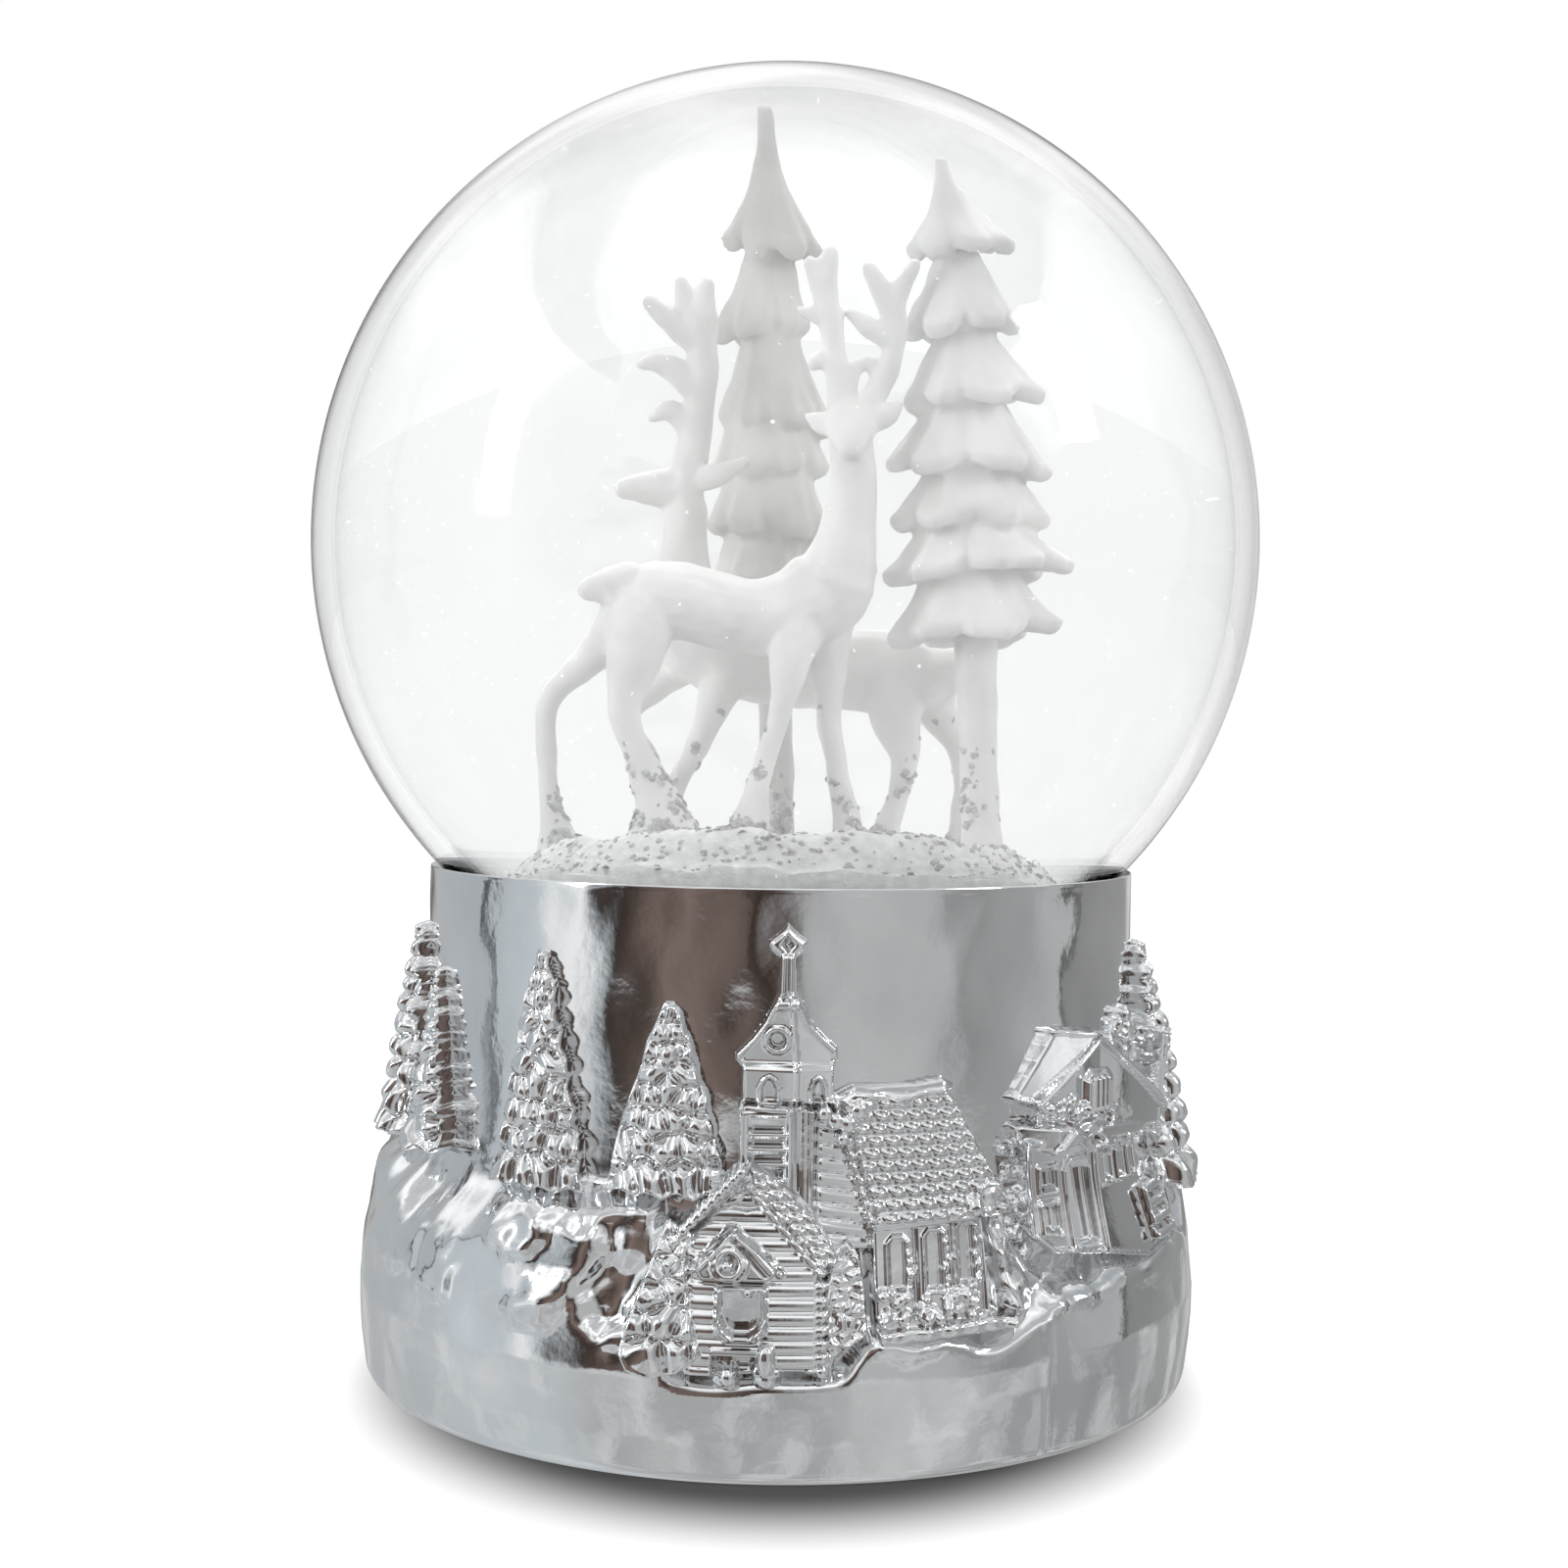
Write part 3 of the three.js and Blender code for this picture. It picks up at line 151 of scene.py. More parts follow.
def surface(
    name, dark, light, roughness, metallic=0.0, patches=300.0, layers=((2500.0, 0.3, 0.02),), **values
):
    """A material whose colour and roughness vary from place to place, over layers of fine bumps."""
    material, nodes, links = node_tree(name)
    shader = nodes["Principled BSDF"]
    shader.inputs["Metallic"].default_value = metallic
    for socket, value in values.items():
        shader.inputs[socket.replace("_", " ")].default_value = value
    cloud = noise(nodes, links, patches)
    low, high = NOISE_RANGE
    links.new(ramp(nodes, links, cloud, [(low, dark), (high, light)]), shader.inputs["Base Color"])
    links.new(map_range(nodes, links, cloud, low, high, *roughness), shader.inputs["Roughness"])
    links.new(bumps(nodes, links, layers), shader.inputs["Normal"])
    return material


def see_through(name, index, tint, shade):
    """Glass or water that lets the light of lamps through; shade is how much of it passes."""
    material, nodes, links = node_tree(name)
    nodes.remove(nodes["Principled BSDF"])
    glass = add(
        nodes, "BsdfPrincipled", Base_Color=(*tint, 1.0), Roughness=0.0, IOR=index, Transmission_Weight=1.0,
    )
    clear = add(nodes, "BsdfTransparent", Color=(shade, shade, shade, 1.0))
    mix = add(nodes, "MixShader")
    links.new(add(nodes, "LightPath").outputs["Is Shadow Ray"], mix.inputs["Fac"])
    links.new(glass.outputs["BSDF"], mix.inputs[1])
    links.new(clear.outputs["BSDF"], mix.inputs[2])
    links.new(mix.outputs["Shader"], nodes["Material Output"].inputs["Surface"])
    return material


SILVER = surface(
    "silver_plating", (0.74, 0.75, 0.76), (0.84, 0.85, 0.86), (0.05, 0.11), metallic=1.0, patches=120.0,
    layers=((160.0, 0.35, 0.25), (900.0, 0.25, 0.05), (4200.0, 0.12, 0.012)),
)
GLASS = see_through("clear_glass", 1.5, (0.985, 0.99, 0.99), 0.96)
WATER = see_through("clear_water", 1.333, (0.975, 0.978, 0.98), 0.97)
RESIN = surface(
    "white_resin", (0.72, 0.72, 0.71), (0.84, 0.84, 0.83), (0.5, 0.7), patches=160.0,
    layers=((420.0, 0.4, 0.3), (2600.0, 0.3, 0.05)),
)
# A darker copy of the white resin for the tall fir at the back: painted shade, for the lesser light that
# falls on it.
RESIN_PAINTED_SHADE = surface(
    "resin_painted_shade", (0.56, 0.56, 0.54), (0.74, 0.74, 0.72), (0.5, 0.7), patches=120.0,
    layers=((420.0, 0.4, 0.3), (2600.0, 0.3, 0.05)),
)
SNOW = surface(
    "packed_snow", (0.72, 0.72, 0.72), (0.92, 0.92, 0.92), (0.5, 0.8), patches=900.0,
    layers=((700.0, 0.5, 0.3), (3000.0, 0.6, 0.12)),
)
FLAKE = surface(
    "settled_flake", (0.4, 0.4, 0.4), (0.66, 0.66, 0.66), (0.25, 0.5), patches=1500.0,
    layers=((4000.0, 0.2, 0.01),),
)
# The specks glow a little, painted light that keeps them white in the water.
SPECK_PAINTED_GLOW = surface(
    "floating_speck", (0.85, 0.85, 0.86), (1.0, 1.0, 1.0), (0.1, 0.3), patches=1500.0,
    layers=((4000.0, 0.2, 0.01),), Emission_Strength=0.5,
)
CAD_LOOKS = {
    "pale_rubber": surface(
        "pale_rubber", (0.58, 0.56, 0.52), (0.68, 0.66, 0.62), (0.7, 0.85), layers=((1800.0, 0.4, 0.04),),
    ),
    "black_plastic": surface(
        "black_plastic", (0.012, 0.012, 0.013), (0.022, 0.022, 0.024), (0.42, 0.6),
        layers=((3000.0, 0.5, 0.05),),
    ),
    "white_plastic": surface("white_plastic", (0.72, 0.71, 0.67), (0.8, 0.79, 0.75), (0.3, 0.45)),
    "screw_steel": surface("screw_steel", (0.42, 0.42, 0.43), (0.6, 0.6, 0.61), (0.25, 0.42), metallic=1.0),
    "cast_zinc": surface(
        "cast_zinc", (0.34, 0.35, 0.36), (0.46, 0.47, 0.48), (0.45, 0.62), metallic=1.0,
        layers=((900.0, 0.4, 0.08), (4000.0, 0.3, 0.02)),
    ),
    "plated_steel": surface(
        "plated_steel", (0.55, 0.56, 0.57), (0.7, 0.71, 0.72), (0.14, 0.28), metallic=1.0,
    ),
    "spring_steel": surface(
        "spring_steel", (0.16, 0.18, 0.22), (0.28, 0.3, 0.34), (0.25, 0.4), metallic=1.0,
    ),
    "comb_steel": surface("comb_steel", (0.45, 0.46, 0.48), (0.6, 0.61, 0.63), (0.2, 0.32), metallic=1.0),
    "brass": surface("brass", (0.52, 0.36, 0.13), (0.72, 0.52, 0.22), (0.2, 0.36), metallic=1.0),
}

# ---------------------------------------------------------------- meshes


def piece(name, points, faces, material, smooth=True):
    """A mesh object from points in millimetres."""
    mesh = bpy.data.meshes.new(name)
    mesh.from_pydata((np.asarray(points, float) * MM).tolist(), [], faces)
    mesh.materials.append(material)
    mesh.polygons.foreach_set("use_smooth", [smooth] * len(mesh.polygons))
    mesh.update()
    made = bpy.data.objects.new(name, mesh)
    bpy.context.scene.collection.objects.link(made)
    return made


def on_body(obj, slot, *nodes):
    """Places a finished piece on the globe and base, and hides the CAD nodes it stands for. Its slot, the
    name of its finish, is not used.
    """
    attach(obj, BODY)
    if nodes:
        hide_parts(*nodes)
    return obj


def rounded(share):
    """A quarter round that rises from 0 at 0 to 1 at 1."""
    return np.sqrt(np.clip(1 - (1 - np.clip(share, 0, 1)) ** 2, 0, 1))


def smooth(share):
    share = np.clip(share, 0, 1)
    return share * share * (3 - 2 * share)


def waves(x, y, z, size, seed, count=14):
    """A sum of smooth waves of about that length in all directions, mostly within -1 to 1."""
    rng = np.random.default_rng(seed)
    total = 0
    for _ in range(count):
        direction = rng.normal(size=3)
        direction /= np.linalg.norm(direction)
        turns = 2 * math.pi / (size * rng.uniform(0.7, 1.6))
        along = x * direction[0] + y * direction[1] + z * direction[2]
        total = total + np.sin(turns * along + rng.uniform(0, 2 * math.pi))
    return total / math.sqrt(count)


def ripples(u, v, size, seed):
    """Waves over the base, by place on it."""
    return waves(ARC * np.sin(u / ARC), -ARC * np.cos(u / ARC), v, size, seed)


def distance_inside(u, v, outline):
    """How far each point lies inside a closed outline, or outside it as a negative number."""
    nearest = np.full(u.shape, np.inf)
    inside = np.zeros(u.shape, bool)
    for (x0, y0), (x1, y1) in zip(outline, outline[1:] + outline[:1]):
        dx, dy = x1 - x0, y1 - y0
        nearest = np.minimum(nearest, distance_to(u, v, x0, y0, x1, y1))
        if dy:
            inside ^= ((y0 > v) != (y1 > v)) & (u < x0 + (v - y0) * dx / dy)
    return np.where(inside, nearest, -nearest)


def distance_to(u, v, x0, y0, x1, y1):
    """Distance of each point from the line between two ends."""
    dx, dy = x1 - x0, y1 - y0
    along = np.clip(((u - x0) * dx + (v - y0) * dy) / (dx * dx + dy * dy), 0, 1)
    return np.hypot(u - x0 - along * dx, v - y0 - along * dy)


# ---------------------------------------------------------------- the wall of the base

# The snow bank: (degrees round from the front, height of its upper edge, height over which it falls away)
BANK = [
    (-180, 24, 6), (-157, 23, 6), (-152, 17, 2), (-130, 17, 2), (-125, 24, 6), (-95, 25.6, 4),
    (-78, 25.6, 5), (-62, 24, 7), (-48, 23.6, 7), (-40, 25, 6), (-31, 25.4, 5), (-22, 25, 4),
    (-16, 24.6, 3), (-12, 10.4, 1.6), (8, 10.3, 1.6), (11, 13.6, 2), (25, 14.1, 2.4), (34, 15.2, 3),
    (42, 17, 3), (60, 17, 2.4), (74, 18, 2.4), (84, 23, 3.5), (95, 24, 4), (116, 24, 6), (121, 17.4, 2),
    (141, 17.4, 2), (146, 24, 6), (180, 24, 6),
]
BANK_DEGREES, BANK_TOP, BANK_FALL = np.array(BANK, float).T
# The bank's (height, radius) from the foot up
BANK_PROFILE = [
    (0, 43.6), (4, 44.1), (6.8, 44.3), (9.4, 44.33), (15, 43.8), (19, 43.1), (22, 42.4), (26, 41.6),
]
BANK_HEIGHTS, BANK_RADII = np.array(BANK_PROFILE, float).T
# A hollow under the ledge on which the left-hand firs stand
CAVE = [
    (-20.6, 22.6), (-17, 24.6), (-6, 25.4), (-6.6, 21), (-9.6, 15.6), (-13, 11.6), (-16, 11), (-18, 15),
    (-17.4, 19.6),
]

# Ragged sheets of snow that lie on the bank: (outline, thickness)
DRIFTS = [
    ([(-28, 22.4), (-24.6, 23.6), (-20.4, 23.6), (-20.8, 19.6), (-24.2, 17.8), (-27.6, 19.4)], 0.6),
    ([(-25.6, 13.6), (-20.4, 17.2), (-17.8, 16.8), (-19.4, 12.8), (-22.6, 12.2)], 0.6),
    ([(-43.5, 20), (-39.6, 20.6), (-36.5, 17.5), (-37.4, 14.4), (-40.8, 13), (-43.8, 15)], 0.3),
    ([(-36, 16.6), (-32.6, 18.4), (-30.6, 15.6), (-31.6, 12.8), (-35, 12.6)], 0.3),
    ([(8.4, 13.4), (19, 14), (21, 12.6), (16, 11.4), (10.6, 11.2), (8.6, 12.2)], 0.6),
    ([(20.6, 21), (22.4, 22), (25.4, 17.4), (27.6, 14.6), (25.8, 13.6), (22.6, 14.4), (20.2, 16)], 0.7),
    ([(26, 17.4), (33.6, 17), (44, 19), (40, 16), (33, 14.6), (28.4, 13.8), (26.4, 15.4)], 0.4),
    ([(84, 19), (96, 21.5), (104, 18), (95, 13.5), (86, 14.5)], 0.6),
    ([(-112, 18), (-98, 21), (-86, 17), (-96, 12.5), (-108, 13)], 0.6),
]
SEAM_U = 24.6  # the mould's seam


def plain_wall(v):
    """Radius of the base's wall where no snow lies against it."""
    return COLLAR_RADIUS + (LOWER_WALL_RADIUS - COLLAR_RADIUS) * smooth((27 - v) / 15)


def wall_radius(u, v):
    """Radius of the base's wall, without the trees and houses on it."""
    degrees = np.degrees(u / ARC)
    top = np.interp(degrees, BANK_DEGREES, BANK_TOP) + 0.5 * ripples(u, 0 * v, 7, 3)
    fall = np.interp(degrees, BANK_DEGREES, BANK_FALL)
    wall = plain_wall(v)
    bank = np.interp(v, BANK_HEIGHTS, BANK_RADII)
    share = smooth((top - v) / fall)
    near_rim = smooth((v - 30) / 12)
    radius = wall + (bank - wall) * share + (0.03 + 0.02 * near_rim) * ripples(u, v, 6, 1)
    calm_front = np.interp(u, [-16, -11, 8, 16, 30], [1, 0.3, 0.3, 0.7, 0.4])
    uneven = share * (0.15 + 0.85 * smooth((v - 8) / 7)) * calm_front
    radius = radius + uneven * (0.26 * ripples(u, v, 13, 5) + 0.1 * ripples(u, v, 5.5, 6))
    ragged_u = u + 0.55 * ripples(u, v, 2.6, 7)
    ragged_v = v + 0.55 * ripples(u, v, 2.6, 8)
    for outline, thickness in DRIFTS:
        inside = distance_inside(ragged_u, ragged_v, outline)
        radius = radius + thickness * rounded(inside / 0.9) * (1 + 0.3 * ripples(u, v, 3, 9))
    cave = smooth(distance_inside(ragged_u, ragged_v, CAVE) / 2.6)
    sunken = 42.4 - 0.13 * (v - 12) + 0.4 * ripples(u, v, 4.5, 11)
    radius = radius - cave * np.maximum(radius - sunken, 0)
    seam = np.exp(-(((u - SEAM_U - 0.25 * ripples(u, v, 9, 10)) / 0.3) ** 2))
    return radius + 0.14 * seam * smooth((14.5 - v) / 1.5)


def grid_faces(rows, columns, wrap):
    """Quads of a grid of points stored row by row, whose rows close on themselves if wrap is true."""
    row = np.arange(rows - 1)[:, None] * columns
    column = np.arange(columns if wrap else columns - 1)[None, :]
    beside = (column + 1) % columns
    quads = np.stack([row + column, row + beside, row + columns + beside, row + columns + column], axis=-1)
    return quads.reshape(-1, 4).tolist()


def ring_grid(name, radii, heights, angles, material):
    """A closed piece made of rings, from its middle on top, out, down and in to its middle below."""
    columns = angles.size
    x, y = radii * np.sin(angles), -radii * np.cos(angles)
    points = np.stack([x, y, np.broadcast_to(heights, x.shape)], axis=-1).reshape(-1, 3)
    rows = len(radii)
    faces = [face[::-1] for face in grid_faces(rows, columns, True)]
    top = (0, 0, float(heights[0, 0]))
    below = (0, 0, float(heights[-1, 0]))
    points = np.vstack([points, [top], [below]])
    first_top, first_below = len(points) - 2, len(points) - 1
    last = (rows - 1) * columns
    faces += [[first_top, k, (k + 1) % columns] for k in range(columns)]
    faces += [[first_below, last + (k + 1) % columns, last + k] for k in range(columns)]
    return piece(name, points, faces, material)


def arc_points(radius, start, end, steps):
    """(radius, height) points of an arc round the globe's centre, between two distances from the axis."""
    angles = np.linspace(-math.acos(start / radius), -math.acos(end / radius), steps)
    return [(radius * math.cos(a), GLOBE_Z + radius * math.sin(a)) for a in angles]


def base_casting():
    """The base: the deck and the globe's seat, the rim, the modelled wall, and the hollow underneath."""
    columns, wall_rows = 512, 100
    seat = arc_points(GLOBE_RADIUS + 0.35, 31.2, 37.1, 9)
    inside = [(15, 36), (28, 36), (30.8, 36), (31.2, 36.4), (31.2, 41), *seat]
    lip = [(37.15, 51.99), (37.3, 52), (37.41, 51.96), (37.45, 51.84)]
    wall = [(None, v) for v in np.linspace(51.4, 0.7, wall_rows)]
    foot = [(43.55, 0.35), (43.4, 0.1), (43.1, 0), (40.75, 0), (40.45, 0.1), (40.35, 0.4)]
    hollow = [
        (40.35, 6), (40.35, 12.15), (38.3, 12.15), (38.3, 19), (33.6, 23.5), (33.6, 28), (33.6, 33),
        (30, 33), (15, 33),
    ]
    profile = inside + lip + wall + foot + hollow
    angles = np.linspace(-math.pi, math.pi, columns, endpoint=False)
    heights = np.array([v for _, v in profile], float)[:, None]
    u = np.broadcast_to(angles * ARC, (len(profile), columns))
    v = np.broadcast_to(heights, u.shape)
    modelled = wall_radius(u, v)
    plain = np.array([r or 0 for r, _ in profile], float)[:, None]
    is_wall = np.array([r is None for r, _ in profile])[:, None]
    radii = np.where(is_wall, modelled, plain)
    return ring_grid("base_casting", radii, heights, angles[None, :], SILVER)


def screw_bosses():
    """Three posts inside the base that take the screws of the bottom cover."""
    radius, bottom, top = 3.3, 12.15, 22.6
    hole, hole_top = 1.55, 19
    for name in ("cover_screw_1", "cover_screw_2", "cover_screw_3"):
        low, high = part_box(name)
        x, y = (low[0] + high[0]) / 2 / MM, (low[1] + high[1]) / 2 / MM
        profile = [
            (0, top), (radius, top), (radius, bottom + 0.2), (radius - 0.2, bottom), (hole, bottom),
            (hole, hole_top), (0, hole_top),
        ]
        post = turned(name.replace("screw", "boss"), profile, 24, SILVER)
        post.data.transform(Matrix.Translation((x * MM, y * MM, 0)))
        on_body(post, "silver_plating")


# ---------------------------------------------------------------- relief


class Relief:
    """A fine patch of the base's relief. h is how far each point stands out from the wall."""

    def __init__(self, u_range, v_range, step):
        across = np.arange(u_range[0], u_range[1] + step, step)
        up = np.arange(v_range[0], v_range[1] + step, step)
        self.u, self.v = np.meshgrid(across, up)
        self.h = np.full(self.u.shape, -SUNK)

    def plate(self, outline, height, edge=0.45):
        """Raises an outline to a height, with rounded edges. Height may be a number or an array."""
        inside = distance_inside(self.u, self.v, outline)
        raised = np.maximum(self.h, height * rounded(inside / edge))
        self.h = np.where(inside > 0, raised, self.h)

    def hollow(self, outline, depth, edge=0.3):
        inside = distance_inside(self.u, self.v, outline)
        self.h = self.h - depth * rounded(inside / edge)

    def ridge(self, path, width, height):
        """Raises a line over what is there, or sinks it if height is negative."""
        near = np.min([distance_to(self.u, self.v, *a, *b) for a, b in zip(path, path[1:])], axis=0)
        self.h = self.h + height * rounded(1 - near / width)

    def frame(self, outline, width, height):
        self.ridge(outline + outline[:1], width, height)

    def lump(self, x, y, radius, height, tall=1.0):
        """A dome that reaches height above the wall."""
        near = np.clip(1 - ((self.u - x) / radius) ** 2 - ((self.v - y) / (radius * tall)) ** 2, 0, 1)
        self.h = np.maximum(self.h, np.where(near > 0, height - radius * 0.9 * (1 - np.sqrt(near)), -SUNK))

    def ring(self, x, y, radius, width, height):
        near = np.abs(np.hypot(self.u - x, self.v - y) - radius)
        self.h = self.h + height * rounded(1 - near / width)

    def boards(self, outline, height, pitch, relief, slant=0.0):
        """Round logs or planks that lie across an outline."""
        wave = np.abs(np.sin(math.pi * (self.v - slant * self.u) / pitch)) ** 0.35
        self.plate(outline, height + relief * wave)

    def shingles(self, outline, height, row, brick, lean, foot):
        """Staggered rows of small rounded bricks. Lean is how far they shift across for each step up."""
        up = (self.v - foot) / row
        number = np.floor(up)
        along = (self.u - lean * (self.v - foot)) / brick + 0.5 * (number % 2)
        across = np.abs(2 * (along - np.floor(along)) - 1)
        pillow = (1 - np.abs(2 * (up - number) - 1) ** 2.2) * (1 - across**2.2)
        self.plate(outline, height + 0.65 * pillow)

    def scatter(self, u_range, v_range, count, radii, heights, seed):
        """Small lumps at seeded random places in a box."""
        rng = np.random.default_rng(seed)
        for _ in range(count):
            x, y = rng.uniform(*u_range), rng.uniform(*v_range)
            self.lump(x, y, rng.uniform(*radii), rng.uniform(*heights))

    def boughs(self, inside, body, seeds, flat=1.2):
        """Raises the inside of an outline to a body covered in rounded snowy boughs, one for each seed.

        Seeds are (u, v, size). Boughs meet in creases, hang down a little, and are flat times as wide as
        they are high.
        """
        nearest = np.full((2, *self.u.shape), 9.0)
        size, hang = np.ones(self.u.shape), np.zeros(self.u.shape)
        for x, y, reach in seeds:
            away = np.hypot((self.u - x) / (reach * flat), (self.v - y) / reach)
            first = away < nearest[0]
            size = np.where(first, reach, size)
            hang = np.where(first, (y - self.v) / reach, hang)
            nearest[1] = np.where(first, nearest[0], np.minimum(nearest[1], away))
            nearest[0] = np.where(first, away, nearest[0])
        bulge = np.sin(0.5 * math.pi * np.clip((nearest[1] - nearest[0]) / 1.2, 0, 1)) ** 0.8
        bough = size * (0.62 * bulge + 0.16 * np.clip(hang, -1, 1))
        rim = 0.4 * np.exp(-(((inside - 0.35) / 0.25) ** 2))
        raised = (body + bough * rounded(inside / 0.8)) * rounded(inside / 0.6) + rim
        self.h = np.where(inside > 0, np.maximum(self.h, raised), self.h)

    def build(self, name):
        """The patch as a closed piece. Its back lies inside the wall and has fewer rows."""
        rows, columns = self.u.shape
        self.h[[0, -1], :] = -SUNK
        self.h[:, [0, -1]] = -SUNK
        wall = plain_wall(self.v)
        back_rows = sorted({*range(0, rows, 8), rows - 1})
        back_u, back_v = self.u[back_rows], self.v[back_rows]

        def cylinder(radius, u, v):
            """Points at a radius.

            They lie straight in from their place on the cylinder of radius ARC, in the direction in which
            the mould opens, so that a shape keeps its outline however far it stands out.
            """
            angle = u / ARC
            pull_x, pull_y = PULL * np.sin(angle), -np.cos(angle)
            length = np.hypot(pull_x, pull_y)
            pull_x, pull_y = pull_x / length, pull_y / length
            x, y = ARC * np.sin(angle), -ARC * np.cos(angle)
            along = x * pull_x + y * pull_y
            inward = along - np.sqrt(along**2 - ARC**2 + radius**2)
            return np.stack([x - inward * pull_x, y - inward * pull_y, v], axis=-1).reshape(-1, 3)

        front = cylinder(wall + self.h, self.u, self.v)
        back = cylinder(wall[back_rows] - SUNK - 0.5, back_u, back_v)
        first = len(front)
        faces = grid_faces(rows, columns, False)
        faces += [[first + k for k in face[::-1]] for face in grid_faces(len(back_rows), columns, False)]
        last_front, last_back = (rows - 1) * columns, first + (len(back_rows) - 1) * columns
        for k in range(columns - 1):
            faces.append([k, first + k, first + k + 1, k + 1])
            faces.append([last_front + k + 1, last_back + k + 1, last_back + k, last_front + k])
        for i, (low, high) in enumerate(zip(back_rows, back_rows[1:])):
            left = [r * columns for r in range(low, high + 1)]
            right = [r * columns + columns - 1 for r in range(low, high + 1)]
            behind = first + i * columns
            faces.append([*left, behind + columns, behind])
            faces.append([*right[::-1], behind + columns - 1, behind + 2 * columns - 1])
        return on_body(piece(name, np.vstack([front, back]), faces, SILVER), "silver_plating")


def bough_seeds(rng, middle, foot, tip, half_width, lean=0.0, flat=1.2):
    """Places for boughs, in rows that grow larger towards the foot.

    half_width gives half the tree's width from 0, the tip, to 1, the foot.
    """
    seeds, level, shift = [], 0.05, 0.0
    while level < 1:
        reach = 1.1 + 1.05 * level
        across = half_width(level)
        count = max(1, round(across / reach / flat / 1.35))
        for k in range(-count, count + 1):
            x = middle + lean * level + across * (k + shift) / count + 0.2 * reach * rng.uniform(-1, 1)
            y = tip - level * (tip - foot) + 0.25 * reach * (rng.uniform(-1, 1) - abs(k) / count)
            seeds.append((x, y, reach * rng.uniform(0.85, 1.15)))
        level += 1.4 * reach / (tip - foot)
        shift = 0.5 - shift
    return seeds


def tree_relief(patch, middle, foot, tip, width, reach, seed, flat=1.2):
    """A snow-laden fir: half a cone covered in boughs. Its foot stands out by reach from the neck."""
    rng = np.random.default_rng(seed)
    u, v = patch.u - middle, patch.v
    half = width / 2

    def half_width(share):
        return half * (0.1 + 0.9 * share**0.82)

    share = np.clip((tip - v) / (tip - foot), 0, 1)
    edge = half_width(share) + 0.2 * ripples(patch.u, v, 2.4, seed)
    above_foot = (v - foot) * 1.1 + 0.3 * np.cos(2.2 * u)
    inside = np.minimum(edge - np.abs(u), np.minimum((tip - v) * 0.8, above_foot))
    across = np.clip(u / np.maximum(edge, 0.1), -1, 1)
    body = (0.5 + (reach - 1.3) * share**0.75) * np.sqrt(np.clip(1 - across**2, 0.02, 1))
    body = COLLAR_RADIUS + body - plain_wall(v)
    patch.boughs(inside, body, bough_seeds(rng, middle, foot, tip, half_width, flat=flat), flat)


def relief_tree(name, degrees, foot, tip, width, reach, flat, seed):
    middle = math.radians(degrees) * ARC
    patch = Relief((middle - width / 2 - 1.2, middle + width / 2 + 1.2), (foot - 1.2, tip + 0.8), 0.17)
    tree_relief(patch, middle, foot, tip, width, reach, seed, flat)
    return patch.build(name)


